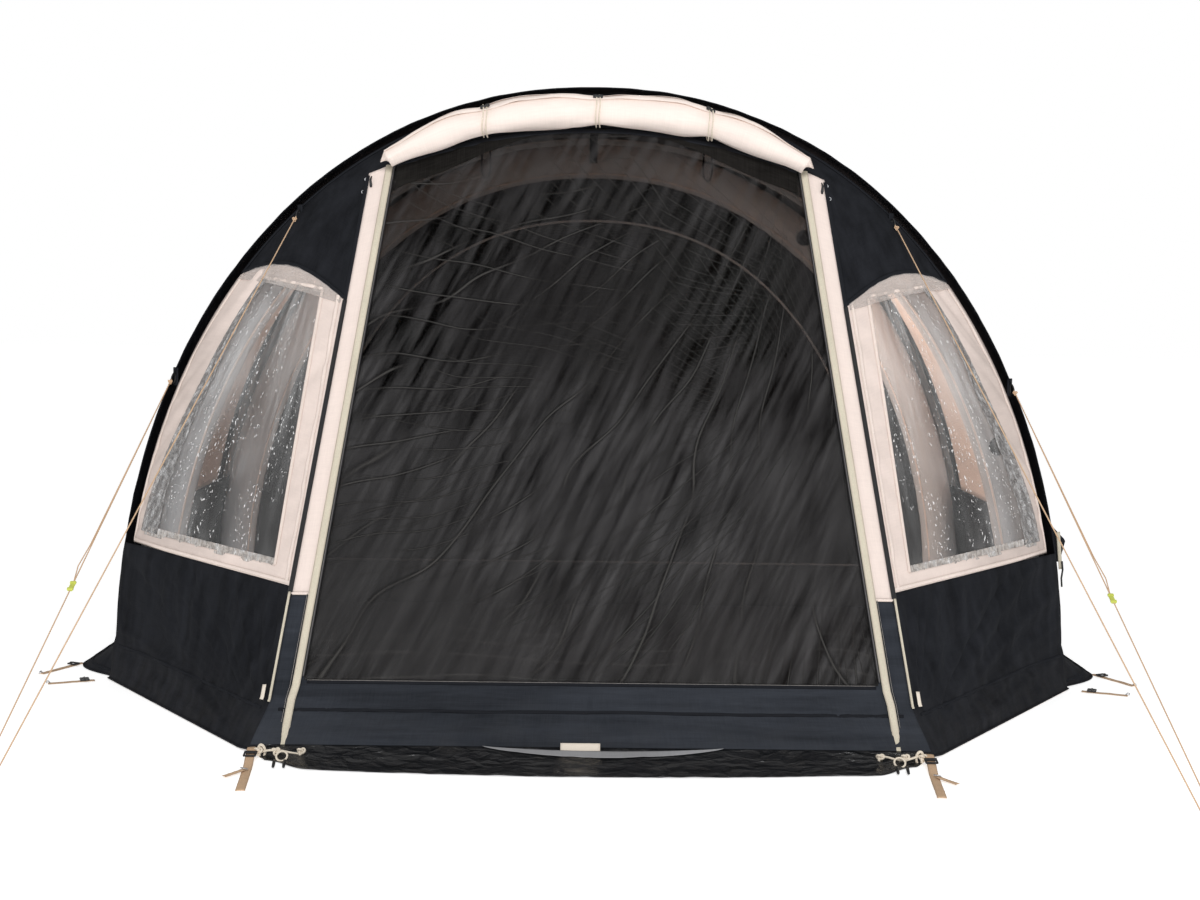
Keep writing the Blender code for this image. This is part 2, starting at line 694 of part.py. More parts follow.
def make_rear_bay():
    make_upper_panel("rear_upper_panel", REAR_BAY)
    make_rear_centre("rear_centre_panel", REAR_BAY)
    make_rear_base("rear_base_centre", REAR_BAY)
    for side, word in SIDES:
        make_side_panel(f"rear_side_panel_{word}", REAR_BAY, side, False)
        make_side_base(f"rear_base_{word}", REAR_BAY, side)


def make_guying():
    for bay, place in ((FRONT_BAY, "front"), (REAR_BAY, "rear")):
        for side, word in SIDES:
            make_guy_rope(f"{place}_guy_rope_{word}", bay, side)
            make_peg(f"{place}_peg_{word}", bay, side)
            make_corner_strap(f"{place}_corner_strap_{word}", bay, side)
            make_side_strap(f"{place}_foot_strap_{word}", bay, side, FOOT_STRAP)
            make_side_strap(f"{place}_hem_strap_{word}", bay, side, HEM_STRAP)


def main():
    clear_scene()
    make_tunnel()
    make_front_bay()
    make_rear_bay()
    make_groundsheet("groundsheet")
    make_inner_wall("inner_tent_wall")
    make_guying()


main()
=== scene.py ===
"""Dresses the inflatable tunnel tent: cotton panels, mesh door, film windows, rolled door and guying.

Metres, in the CAD's frame: +X to the right seen from the front, +Y into the tent, +Z up.
"""
import json
import math

import bmesh
import bpy
from mathutils import Matrix, Vector, noise

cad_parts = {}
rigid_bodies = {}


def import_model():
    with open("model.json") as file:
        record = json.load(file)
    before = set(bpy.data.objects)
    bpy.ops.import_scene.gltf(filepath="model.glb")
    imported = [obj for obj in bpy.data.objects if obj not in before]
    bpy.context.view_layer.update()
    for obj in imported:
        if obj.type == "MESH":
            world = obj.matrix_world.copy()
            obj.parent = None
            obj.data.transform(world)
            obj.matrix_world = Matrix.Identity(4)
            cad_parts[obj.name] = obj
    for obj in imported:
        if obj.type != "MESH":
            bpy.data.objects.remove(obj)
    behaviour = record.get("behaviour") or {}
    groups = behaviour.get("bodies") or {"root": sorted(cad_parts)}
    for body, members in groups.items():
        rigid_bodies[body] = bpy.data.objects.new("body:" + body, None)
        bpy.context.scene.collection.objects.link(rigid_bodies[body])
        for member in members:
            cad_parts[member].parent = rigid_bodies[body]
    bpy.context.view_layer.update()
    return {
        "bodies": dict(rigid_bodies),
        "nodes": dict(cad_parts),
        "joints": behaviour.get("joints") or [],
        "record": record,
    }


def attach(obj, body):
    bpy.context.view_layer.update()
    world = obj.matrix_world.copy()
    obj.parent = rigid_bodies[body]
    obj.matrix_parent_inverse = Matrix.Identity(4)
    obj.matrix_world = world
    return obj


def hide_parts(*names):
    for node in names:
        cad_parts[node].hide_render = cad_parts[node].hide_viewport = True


# The photograph's camera: a 48 mm lens, a little above waist height.
CAMERA_PLACE = (-0.0403, -5.6581, 1.300)
CAMERA_YAW = 0.0115
CAMERA_PITCH = -0.0813
CAMERA_ROLL = 0.0139
LENS_MM = 48.0
SENSOR_MM = 36.0

# The tunnel's outline, |x / half width|^n + |z / height|^n = 1, and where the arches stand.
HALF_WIDTH = 1.70
HEIGHT = 2.11
ROUNDNESS = 2.123
FRONT_ARCH_Y = 0.0
MIDDLE_ARCH_Y = 1.45
REAR_ARCH_Y = 3.60
SLEEVE_WIDTH = 0.20
SLEEVE_THICKNESS = 0.035
MIDDLE_SLEEVE_WIDTH = 0.10
TUBE_RADIUS = 0.075
TUBE_SETBACK = 0.10
TUBE_INSET = SLEEVE_THICKNESS + TUBE_RADIUS + 0.006
TUBE_FOOT = 0.08
SADDLE = 0.045
BASE_TOP = 0.57
REAR_SLEEVE_Y = REAR_ARCH_Y - SLEEVE_WIDTH
LIVING_SPAN = (SLEEVE_WIDTH, MIDDLE_ARCH_Y - MIDDLE_SLEEVE_WIDTH / 2.0)
BEDROOM_SPAN = (MIDDLE_ARCH_Y + MIDDLE_SLEEVE_WIDTH / 2.0, REAR_SLEEVE_Y)
SKIRT_HEIGHT = 0.14
SKIRT_FLARE = 0.166
SKIRT_CORNER = 0.22
SKIRT_START = 0.004

# The bays: sloping three-sided ends, down to a fold and then out to a hem on the ground.
BAY_TOP = HEIGHT - SLEEVE_THICKNESS
FOLD_Z = 0.15
SEAM_TOP_X = 0.777
SEAM_FOLD_X = 0.965
SEAM_HEM_X = 1.014
ARCH_HEM_X = 1.715
ARCH_HEM_RUN = 0.03
DOOR_TOP = 1.96
DOOR_TOP_DROP = 0.133
DOOR_TOP_DROP_AT = 0.68
STRIP_WIDTH = 0.09
STRIP_BOTTOM = 0.447
SILL_TOP = 0.205
SILL_EDGE = 0.05
SILL_RISE = 0.5
SIDE_BASE_TOP = 0.262
WINDOW_BOTTOM = 0.288
WINDOW_TOP = 0.769
WINDOW_TOP_MARGIN = 0.006
WINDOW_SEAM_MARGIN = 0.115
WINDOW_ARCH_MARGIN = 0.08
WINDOW_ARCH_WIDENING = 0.088
WINDOW_WIDE_AT = 0.60
WINDOW_COLUMNS = (0.0, 0.2, 0.8, 1.0)
WINDOW_ROWS = (0.0, 0.1, 0.85, 1.0)
SIDE_PANEL_TOP = 0.757
SIDE_PANEL_CROWN = 0.035
SIDE_PANEL_RISE = 0.013
FACET_BOW = 0.028
BASE_OVERLAP = 0.030
HEM_LIFT = 0.026
HOOD_SIDE_STEPS = 22
HOOD_TOP_STEPS = 60
FRONT_BAY = (FRONT_ARCH_Y, 0.92, 0.99, -1.0)
REAR_BAY = (REAR_ARCH_Y, 0.50, 0.57, 1.0)
SLOPE_OUT = Vector((0.0, -0.9, 0.43))

# The rolled-up door.
ROLL_RADIUS = 0.060
ROLL_HALF_LENGTH = 0.712
ROLL_TOP = 2.010
ROLL_DROP = 0.183
ROLL_DROP_POWER = 2.4
ROLL_STANDOFF = 0.077
ROLL_END_TAPER = 0.024
ROLL_TAPER_FROM = 0.70
ROLL_TURNS = 9
ROLL_HEM_TURN = 2.05
ROLL_TIES = (-0.383, 0.0, 0.383)
ROLL_PINCH = 0.012
ROLL_PINCH_WIDTH = 0.07
ROLL_INSIDE = Vector((0.0, -0.12, 1.95))

# The mud flap, the groundsheet's outline, the inner tent's wall and the side doors.
FLAP_NEAR_Y = -0.985
FLAP_HALF = 1.008
FLOOR_YS = (-0.905, 0.0, 0.20, 3.40, 3.60, 4.085)
FLOOR_HALVES = (0.95, 1.645, 1.66, 1.66, 1.645, 0.95)
INNER_ZIP_HALF = 1.30
INNER_ZIP_TOP = 1.74
INNER_ZIP_ROUNDNESS = 0.909
INNER_TRAY_HALF = 1.62
INNER_TRAY_TOP = 0.194
INNER_TRAY_OFF = 0.005
INNER_WALL_INSET = 0.064
INNER_WALL_CORNER = 0.05
INNER_WALL_BEHIND = 0.117
WALL_FOOT = 0.006
SIDE_DOOR_Y = 0.79
SIDE_DOOR_HALF = 0.44
SIDE_DOOR_FOOT = 0.20
SIDE_DOOR_HEIGHT = 1.28
SIDE_DOOR_ROUNDNESS = 0.55

# Cloth.
CLOTH = 0.0014
FILM = 0.0008
INSIDE_POINT = Vector((0.0, 1.8, 0.75))
ON_GROUND = 0.003
FAR_BELOW = -5.0
WEAVE_PITCH = 0.0011
UP = Vector((0.0, 0.0, 1.0))
WORDS = {-1: "left", 1: "right"}

# What each sheet was cut to: its width, length, and area where the cut isn't a rectangle.
FLAT = {
    "front_arch_cover": (6.00, 0.21, None),
    "rear_arch_cover": (6.00, 0.21, None),
    "living_roof": (4.86, 1.20, None),
    "bedroom_roof": (4.86, 1.90, None),
    "middle_band": (4.93, 0.10, None),
    "side_wall": (3.20, 0.58, None),
    "side_skirt": (3.60, 0.22, None),
    "inner_wall": (3.22, 2.04, 5.4),
    "inner_tray": (3.24, 0.194, None),
    "floor_cloth": (3.32, 4.99, 15.5),
    "front_hood": (3.00, 0.50, 0.55),
    "mosquito_door": (1.75, 1.95, 2.9),
    "gathered_mesh": (1.42, 0.06, None),
    "sill": (2.03, 0.50, 0.45),
    "mud_flap_sheet": (2.02, 0.165, None),
    "mud_flap_gap_shade": (0.73, 0.042, 0.024),
    "door_roll": (1.90, 1.75, 2.85),
    "front_side": (0.95, 0.98, 0.29),
    "window_film": (0.72, 0.95, 0.52),
    "film_edge": (0.10, 0.98, None),
    "film_hem": (0.78, 0.038, None),
    "film_top": (0.80, 0.07, 0.035),
    "front_side_base": (1.12, 0.52, 0.55),
    "strip": (0.09, 1.52, None),
    "vent_flap": (0.14, 0.22, 0.017),
    "rear_hood": (2.90, 0.48, 0.45),
    "rear_wall": (1.90, 1.45, 2.5),
    "rear_wall_base": (2.03, 0.47, 0.91),
    "rear_side": (0.90, 0.98, 0.66),
    "rear_side_base": (0.90, 0.52, 0.42),
}

# Seams, tapes and webbing: width, how far the middle stands up, and finish.
SEAMS = {
    "fold": (0.010, 0.0018, "dark_seam"),
    "join": (0.012, 0.0022, "cream_seam"),
    "edge": (0.014, 0.0022, "cream_seam"),
    "side": (0.016, 0.0022, "cream_seam"),
    "foot": (0.016, 0.0025, "cream_seam"),
    "wall": (0.012, 0.0020, "dark_seam"),
    "sill": (0.012, 0.0025, "dark_seam"),
    "sleeve": (0.013, 0.0022, "dark_seam"),
    "roof": (0.016, 0.0028, "dark_seam"),
    "hood": (0.014, 0.0030, "dark_seam"),
    "arch": (0.016, 0.0030, "dark_seam"),
    "stitch": (0.003, 0.0020, "thread"),
}
PANEL_SEAMS = {"foot": ((0.02, 0.018), (0.98, 0.018)), "arch": ((0.975, 0.01), (0.975, 0.97))}
TAPE_COLUMNS = 4
TAPE_EDGE = 0.35
TAPE_SHARE = 0.6
TAPE_THICKNESS = 0.0012
HEM_RADIUS = 0.003
SIDE_STRAP_WIDTH = 0.024
CORNER_STRAP_WIDTH = 0.027
TAIL_WIDTH = 0.018
STRAP_RISE = 0.0018

# Colours, linear.
DARK = (0.0145, 0.0155, 0.0187)
CREAM = (0.80, 0.685, 0.628)
THREAD = (0.70, 0.60, 0.50)
TAN = (0.62, 0.43, 0.28)
BROWN = (0.030, 0.020, 0.013)
DUST = (0.16, 0.145, 0.125)
WHITE = (1.0, 1.0, 1.0)

# The mesh door's creases, painted as lines of highlight and shade: where each fan comes from, (x, z),
# its lines to the radian, the scale of its patches, and how much the lines wander.
MESH_FANS = (((0.80, 0.91), 21.0, 1.9, 1.0), ((0.95, 1.30), 17.0, 1.5, 0.7), ((0.70, 1.95), 9.0, 2.3, 1.3))
# The lean of the mesh's bands of painted sheen.
MESH_BAND_LEAN = math.radians(27.0)

# Guying, repeated from the CAD.
PEG_X = 1.49
PEG_REACH = 2.09
ROPE_RADIUS = 0.002
ROPE_TURN = 0.009
ROPE_HIGH = (1.042, 0.045, 1.643)
ROPE_LOW = (1.487, 0.012, 1.070)
ROPE_END_HEIGHT = 0.030
SIDE_STRAPS = {"foot": ((1.755, -0.055), (1.90, -0.115)), "hem": ((1.885, 0.225), (1.975, 0.035))}
CORNER_CORD_FROM = 0.985
CORNER_CORD_REACH = 0.14
CORNER_CORD_RADIUS = 0.0034
VENT_TOP = 0.632
VENT_HEIGHT = 0.212

# Light.
WORLD_LIGHT = 0.55
FLOOR_GLOW = 0.54
FLOOR_SHADE = 0.85
FLOOR_HALF = 60.0
KEY_POWER = 330.0
ROOF_GLOW = 15.0
SIDE_GLOW = 14.0
WARM = (1.0, 0.80, 0.68)

FINISH = {}


# Small helpers.

def spread(low, high, steps):
    return [low + (high - low) * step / steps for step in range(steps + 1)]


def shares(steps):
    return spread(0.0, 1.0, steps)


def turns(steps):
    """Angles in even steps round a circle."""
    return spread(0.0, 2.0 * math.pi, steps)[:-1]


def ease(value, low, high):
    """0 below low, 1 above high, smooth between."""
    share = min(max((value - low) / (high - low), 0.0), 1.0)
    return share * share * (3.0 - 2.0 * share)


def stepwise(value, stops, marks):
    """Maps value from one list of stops onto another, straight between them."""
    for low, high, mark, after in zip(stops, stops[1:], marks, marks[1:]):
        if value <= high:
            return mark + (after - mark) * (value - low) / (high - low)
    return marks[-1]


def at(x, y, z):
    return Vector((x, y, z))


def ripple(x, y, z):
    """Smooth noise from -1 to 1."""
    return noise.noise(at(x, y, z))


def squared_cos(turn, power):
    """The cosine to a power, with its own sign: it squares off the ends of a curve."""
    return math.copysign(abs(math.cos(turn)) ** power, math.cos(turn))


def add_piece(name, mesh, finish, nodes=(), slot=None):
    """Puts a mesh or curve in the scene, on the tent's one body, with its finish."""
    piece = bpy.data.objects.new(name, mesh)
    bpy.context.scene.collection.objects.link(piece)
    mesh.materials.append(FINISH[finish].material)
    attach(piece, "root")
    slot or FINISH[finish].slot
    if nodes:
        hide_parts(*nodes)
    return piece


def thicken(piece, thickness):
    """Gives a sheet its thickness, on its inner side."""
    solid = piece.modifiers.new("thickness", "SOLIDIFY")
    solid.thickness = thickness
    solid.offset = -1.0


def finished_mesh(name, bm, smooth=True):
    mesh = bpy.data.meshes.new(name)
    bm.to_mesh(mesh)
    bm.free()
    if smooth:
        mesh.shade_smooth()
    return mesh


def outward_normal(place, u, v, span=(0.0, 1.0), inside=INSIDE_POINT):
    """A surface's normal at (u, v), pointing away from the inside point."""
    step = 0.002
    low, high = span
    along_u = place(min(u + step, high), v) - place(max(u - step, low), v)
    along_v = place(u, min(v + step, high)) - place(u, max(v - step, low))
    normal = along_u.cross(along_v).normalized()
    return normal if normal.dot(place(u, v) - inside) > 0.0 else -normal


def relieved(place, relief):
    """The surface place(u, v) with its folds: each point lifted along the normal by relief(u, v, point)."""
    def skin(u, v):
        point = place(u, v)
        return point + outward_normal(place, u, v) * relief(u, v, point)
    return skin


def sheet_mesh(name, cells, skin, size, cut_out, inside):
    """A grid laid on skin(u, v), with u and v from 0 to 1. size is its flat width and length in metres,
    kept in the UV map; cut_out(u, v) leaves a cell out."""
    bm = bmesh.new()
    bmesh.ops.create_grid(bm, x_segments=cells[0], y_segments=cells[1], size=0.5)
    across = bm.verts.layers.float.new("across")
    along = bm.verts.layers.float.new("along")
    for vert in bm.verts:
        vert[across] = vert.co.x + 0.5
        vert[along] = vert.co.y + 0.5
    if cut_out:
        middles = [(face, face.calc_center_median()) for face in bm.faces]
        holes = [face for face, middle in middles if cut_out(middle.x + 0.5, middle.y + 0.5)]
        bmesh.ops.delete(bm, geom=holes, context="FACES")
    uv = bm.loops.layers.uv.new("UVMap")
    for face in bm.faces:
        for loop in face.loops:
            loop[uv].uv = (loop.vert[across] * size[0], loop.vert[along] * size[1])
    for vert in bm.verts:
        vert.co = skin(vert[across], vert[along])
    bm.normal_update()
    outward = sum(face.normal.dot(face.calc_center_median() - inside) * face.calc_area()
                  for face in bm.faces)
    if outward < 0.0:
        bmesh.ops.reverse_faces(bm, faces=bm.faces)
    return finished_mesh(name, bm)


def cloth(name, cells, skin, finish, nodes=(), rests_on=(), held="stretched", thickness=CLOTH, cut_out=None,
          inside=INSIDE_POINT):
    """Adds a sheet of cloth over skin(u, v), its UV map in metres from its flat size. held and rests_on are
    not used.
    """
    width, length, area = FLAT[name.removesuffix("_left").removesuffix("_right")]
    mesh = sheet_mesh(name, cells, skin, (width, length), cut_out, inside)
    piece = add_piece(name, mesh, finish, nodes)
    thicken(piece, thickness)


def rounded_tube(name, points, radii, sides):
    """A round tube with closed ends through the points, as a mesh."""
    bm = bmesh.new()
    rings = []
    for index, point in enumerate(points):
        ahead = Vector(points[min(index + 1, len(points) - 1)])
        behind = Vector(points[max(index - 1, 0)])
        turn = (ahead - behind).to_track_quat("Z", "Y").to_matrix().to_4x4()
        made = bmesh.ops.create_circle(bm, segments=sides, radius=radii[index],
                                       matrix=Matrix.Translation(point) @ turn)
        ring = set(made["verts"])
        rings.append([edge for edge in bm.edges if edge.verts[0] in ring and edge.verts[1] in ring])
    for near, far in zip(rings, rings[1:]):
        bmesh.ops.bridge_loops(bm, edges=near + far)
    bmesh.ops.holes_fill(bm, edges=bm.edges, sides=sides)
    bmesh.ops.recalc_face_normals(bm, faces=bm.faces)
    return finished_mesh(name, bm)


def rod(name, points, radii, sides, finish):
    add_piece(name, rounded_tube(name, points, radii, sides), finish)


def wire(name, points, radius, finish, nodes=(), closed=False, slot=None):
    """A thin round cord or welt as a bevelled curve."""
    curve = bpy.data.curves.new(name, "CURVE")
    curve.dimensions = "3D"
    curve.bevel_depth = radius
    curve.bevel_resolution = 2
    curve.use_fill_caps = True
    spline = curve.splines.new("POLY")
    spline.points.add(len(points) - 1)
    spline.use_cyclic_u = closed
    for knot, point in zip(spline.points, points):
        knot.co = (*point, 1.0)
    add_piece(name, curve, finish, nodes, slot)


def line_on(skin, stops, steps, lift=0.0, span=(0.0, 1.0), inside=INSIDE_POINT):
    """Points and outward normals along straight runs between (u, v) stops on a surface."""
    line = []
    runs = list(zip(stops, stops[1:]))
    for number, (start, end) in enumerate(runs):
        last = number == len(runs) - 1
        for share in shares(steps) if last else shares(steps)[:-1]:
            u = start[0] + (end[0] - start[0]) * share
            v = start[1] + (end[1] - start[1]) * share
            normal = outward_normal(skin, u, v, span, inside)
            line.append((skin(u, v) + normal * lift, normal))
    return line


def tape(name, line, width, rise, finish, nodes=(), slot=None, thickness=None):
    """Tape along a line of points and normals, its edges down on the cloth and its middle raised by rise.
    The UV map runs 0 to 1 across it, and in metres along it."""
    count = len(line)
    reach = [0.0]
    for (here, _), (there, _) in zip(line, line[1:]):
        reach.append(reach[-1] + (there - here).length)
    bm = bmesh.new()
    bmesh.ops.create_grid(bm, x_segments=TAPE_COLUMNS, y_segments=count - 1, size=0.5)
    uv = bm.loops.layers.uv.new("UVMap")
    spots = {vert: (vert.co.x + 0.5, round((vert.co.y + 0.5) * (count - 1))) for vert in bm.verts}
    for face in bm.faces:
        for loop in face.loops:
            u, index = spots[loop.vert]
            loop[uv].uv = (u, reach[index])
    for vert, (u, index) in spots.items():
        point, normal = line[index]
        ahead = line[min(index + 1, count - 1)][0]
        behind = line[max(index - 1, 0)][0]
        across = (ahead - behind).cross(normal).normalized()
        crown = TAPE_EDGE if u in (0.0, 1.0) else 1.0
        vert.co = point + across * (width * (u - 0.5)) + normal * (rise * crown)
    bm.normal_update()
    if sum(face.normal.dot(line[0][1]) for face in bm.faces[:TAPE_COLUMNS]) < 0.0:
        bmesh.ops.reverse_faces(bm, faces=bm.faces)
    piece = add_piece(name, finished_mesh(name, bm), finish, nodes, slot)
    thicken(piece, thickness or min(rise * TAPE_SHARE, TAPE_THICKNESS))


def seam(name, skin, start, end, steps, lift, kind):
    """A seam straight across a surface from one (u, v) to another, of a kind in SEAMS."""
    width, rise, finish = SEAMS[kind]
    tape(name, line_on(skin, [start, end], steps, lift), width, rise, finish)


# Materials.

class Value:
    """A number that a material works out at each point."""

    def __init__(self, nodes, socket):
        self.nodes = nodes
        self.socket = socket

    def __add__(self, other):
        return self.nodes.math("ADD", self, other)

    def __sub__(self, other):
        return self.nodes.math("SUBTRACT", self, other)

    def __rsub__(self, other):
        return self.nodes.math("SUBTRACT", other, self)

    def __mul__(self, other):
        return self.nodes.math("MULTIPLY", self, other)

    def __abs__(self):
        return self.nodes.math("ABSOLUTE", self)

    def most(self, other):
        return self.nodes.math("MAXIMUM", self, other)

    def below(self, limit):
        return self.nodes.math("LESS_THAN", self, limit)

    def ramp(self, low, high, new_low=0.0, new_high=1.0):
        """Maps low to new_low and high to new_high, and holds them beyond."""
        inputs = {"Value": self, "From Min": low, "From Max": high, "To Min": new_low, "To Max": new_high}
        return self.nodes.value("MapRange", "Result", inputs)


class Nodes:
    """A node tree, and the shader arithmetic that is built in it."""

    def __init__(self, tree):
        self.tree = tree

    def feed(self, socket, value):
        """Links a Value or another socket to a socket, or sets it to a constant."""
        source = value.socket if isinstance(value, Value) else value
        if isinstance(source, bpy.types.NodeSocket):
            self.tree.links.new(source, socket)
        else:
            socket.default_value = source

    def add(self, kind, inputs, **settings):
        node = self.tree.nodes.new("ShaderNode" + kind)
        for key, value in settings.items():
            setattr(node, key, value)
        for key, value in inputs.items():
            self.feed(node.inputs[key], value)
        return node

    def value(self, kind, output, inputs, **settings):
        return Value(self, self.add(kind, inputs, **settings).outputs[output])

    def math(self, operation, first, second=0.0):
        return self.value("Math", "Value", {0: first, 1: second}, operation=operation)

    def where(self, source):
        return self.add("TexCoord", {}).outputs[source]

    def axes(self, source):
        split = self.add("SeparateXYZ", {"Vector": self.where(source)})
        return [Value(self, split.outputs[axis]) for axis in "XYZ"]

    def noise(self, source, scale, detail, roughness=0.55, lean=0.0):
        """Noise on Object coordinates or UV. Its scale may differ along each axis, and then it may lean."""
        scale = scale if isinstance(scale, tuple) else (scale, scale, scale)
        mapping = {"Vector": self.where(source), "Scale": scale}
        if lean:
            mapping["Scale"] = tuple(1.0 / part for part in scale)
            mapping["Rotation"] = (0.0, lean, 0.0)
        place = self.add("Mapping", mapping, vector_type="TEXTURE" if lean else "POINT").outputs["Vector"]
        grain = {"Vector": place, "Scale": 1.0, "Detail": detail, "Roughness": roughness}
        return self.value("TexNoise", "Fac", grain)


class Finish(Nodes):
    """A procedural material, and the name of the record's slot that it is meant for."""

    def __init__(self, name, slot, roughness, specular=0.5):
        self.material = bpy.data.materials.new(name)
        self.material.use_nodes = True
        super().__init__(self.material.node_tree)
        self.slot = slot
        self.shader = self.tree.nodes["Principled BSDF"].inputs
        self.shader["Roughness"].default_value = roughness
        self.shader["Specular IOR Level"].default_value = specular

    def tint(self, colour, *shades):
        """Sets the base colour, made lighter or darker by the sum of the (value, strength) pairs."""
        total = 1.0
        for value, strength in shades:
            total = value.ramp(0.25, 0.75, -strength, strength) + total
        base = self.add("VectorMath", {0: colour, "Scale": total}, operation="SCALE")
        self.feed(self.shader["Base Color"], base.outputs["Vector"])

    def paint(self, cover, colour):
        """Lays another colour over the base colour, as far as cover says."""
        under = self.shader["Base Color"].links[0].from_socket
        mix = self.add("Mix", {"Factor": cover, "A": under, "B": (*colour, 1.0)}, data_type="RGBA")
        self.feed(self.shader["Base Color"], mix.outputs["Result"])

    def show(self, cover):
        """Makes the surface see-through where cover is below 1."""
        self.feed(self.shader["Alpha"], cover)

    def bump(self, height, strength, distance, under=None):
        bump = self.add("Bump", {"Strength": strength, "Distance": distance, "Height": height})
        if under:
            self.feed(bump.inputs["Normal"], under)
        self.feed(self.shader["Normal"], bump.outputs["Normal"])
        return bump.outputs["Normal"]


def weave_height(finish, pitch):
    """Plain weave: threads over and under each other, pitch metres apart, along the cloth's own UV map."""
    scale = 2.0 * math.pi / (20.0 * pitch)
    warp, weft = [
        finish.value("TexWave", "Fac", {"Vector": finish.where("UV"), "Scale": scale, "Distortion": 0.0},
                     wave_type="BANDS", bands_direction=direction)
        for direction in "XY"]
    return warp * weft


def cotton(name, slot, colour, mottle, slub, dust=0.0, folds=None, outer=0.0):
    """Matt woven cotton: slow shade changes, slubs along both threads, soft creases and a fine weave.
    dust is how much grey dirt the cloth has caught close to the ground; folds is the scale along each axis
    and the strength of the painted light and shade of its long soft folds; outer is painted shade towards the
    tent's sides."""
    finish = Finish(name, slot, 0.92, 0.06)
    across, _, height = finish.axes("Object")
    shades = [(finish.noise("Object", 2.6, 5.0), mottle),
              (finish.noise("UV", (260.0, 14.0, 1.0), 2.0), slub),
              (finish.noise("UV", (14.0, 260.0, 1.0), 2.0), slub)]
    # Painted light and shade: long soft folds drawn into the base colour.
    if folds:
        shades.append((finish.noise("Object", folds[0], 3.0), folds[1]))
    # Painted shade: darker towards the tent's sides, lighter inwards.
    if outer:
        shades.append((abs(across).ramp(1.10, 1.45, 1.0, 0.0), outer))
    finish.tint(colour, *shades)
    if dust:
        patch = finish.noise("Object", (11.0, 11.0, 17.0), 6.0, 0.65).ramp(0.35, 0.7)
        finish.paint(height.ramp(0.0, 0.22, dust, 0.0) * patch, DUST)
    soft = finish.bump(finish.noise("Object", 9.0, 6.0, 0.6), 0.35, 0.006)
    finish.bump(weave_height(finish, WEAVE_PITCH), 0.25, 0.0004, soft)
    return finish


def dashes(finish, along, pitch, share):
    """1 on each dash and 0 between, along a tape."""
    return finish.math("FRACT", along * (1.0 / pitch)).below(share)


def stitched(name, slot, colour, thread):
    """Folded cotton tape with a row of stitches along each edge."""
    finish = Finish(name, slot, 0.9, 0.06)
    across, along, _ = finish.axes("UV")
    from_row = abs(abs(across - 0.5) - 0.33)
    stitch = from_row.below(0.045) * dashes(finish, along, 0.0045, 0.66)
    grain = finish.noise("Object", 330.0, 3.0)
    finish.tint(colour, (grain, 0.12), (finish.noise("Object", 7.0, 4.0), 0.08))
    finish.paint(stitch, thread)
    gathered = finish.bump(finish.noise("Object", 60.0, 3.0), 0.4, 0.002)
    finish.bump(stitch * 0.6 + grain, 0.5, 0.0007, gathered)
    return finish


def zip_tape(name, coil_colour):
    """Black zip tape with its coil along the middle."""
    finish = Finish(name, "dark_cotton", 0.5, 0.3)
    across, along, _ = finish.axes("UV")
    tooth = abs(across - 0.5).below(0.2) * dashes(finish, along, 0.0030, 0.6)
    ribs = finish.noise("Object", 300.0, 2.0)
    finish.tint((0.010, 0.010, 0.011), (ribs, 0.2))
    finish.paint(tooth, coil_colour)
    finish.bump(tooth * 1.5 + ribs, 0.6, 0.0008)
    return finish


def webbing(name, colour):
    """Woven webbing with ribs across it and dusty edges."""
    finish = Finish(name, "tan_webbing", 0.82, 0.15)
    rib = 0.0022
    across, along, _ = finish.axes("UV")
    edge = abs(across - 0.5).ramp(0.38, 0.5)
    ribs = finish.math("SINE", along * (2.0 * math.pi / rib))
    fine = finish.noise("Object", 420.0, 2.0)
    finish.tint(colour, (finish.noise("Object", 14.0, 4.0), 0.08), (fine, 0.14), (ribs, 0.05))
    finish.paint(edge * 0.35, DUST)
    finish.bump(ribs + fine, 0.5, 0.0006)
    return finish


def braided(name, slot, colour):
    """Braided cord: fine slanting strands over a slow change of shade."""
    finish = Finish(name, slot, 0.75, 0.2)
    strands = finish.noise("Object", (520.0, 520.0, 260.0), 2.0)
    finish.tint(colour, (finish.noise("Object", 9.0, 4.0), 0.08), (strands, 0.2))
    finish.bump(strands, 0.6, 0.0008)
    return finish


def row_lines(finish, value):
    """The distance to the nearest of a row of lines, unevenly spaced about 1 apart in value."""
    return finish.value("TexVoronoi", "Distance", {"Scale": 1.0, "W": value}, feature="DISTANCE_TO_EDGE",
                        voronoi_dimensions="1D")


def patchy(finish, scale, low, high):
    """Patches with soft edges over the door: 0 outside and 1 inside."""
    return finish.noise("Object", (scale, 0.0, scale), 3.0).ramp(low, high)


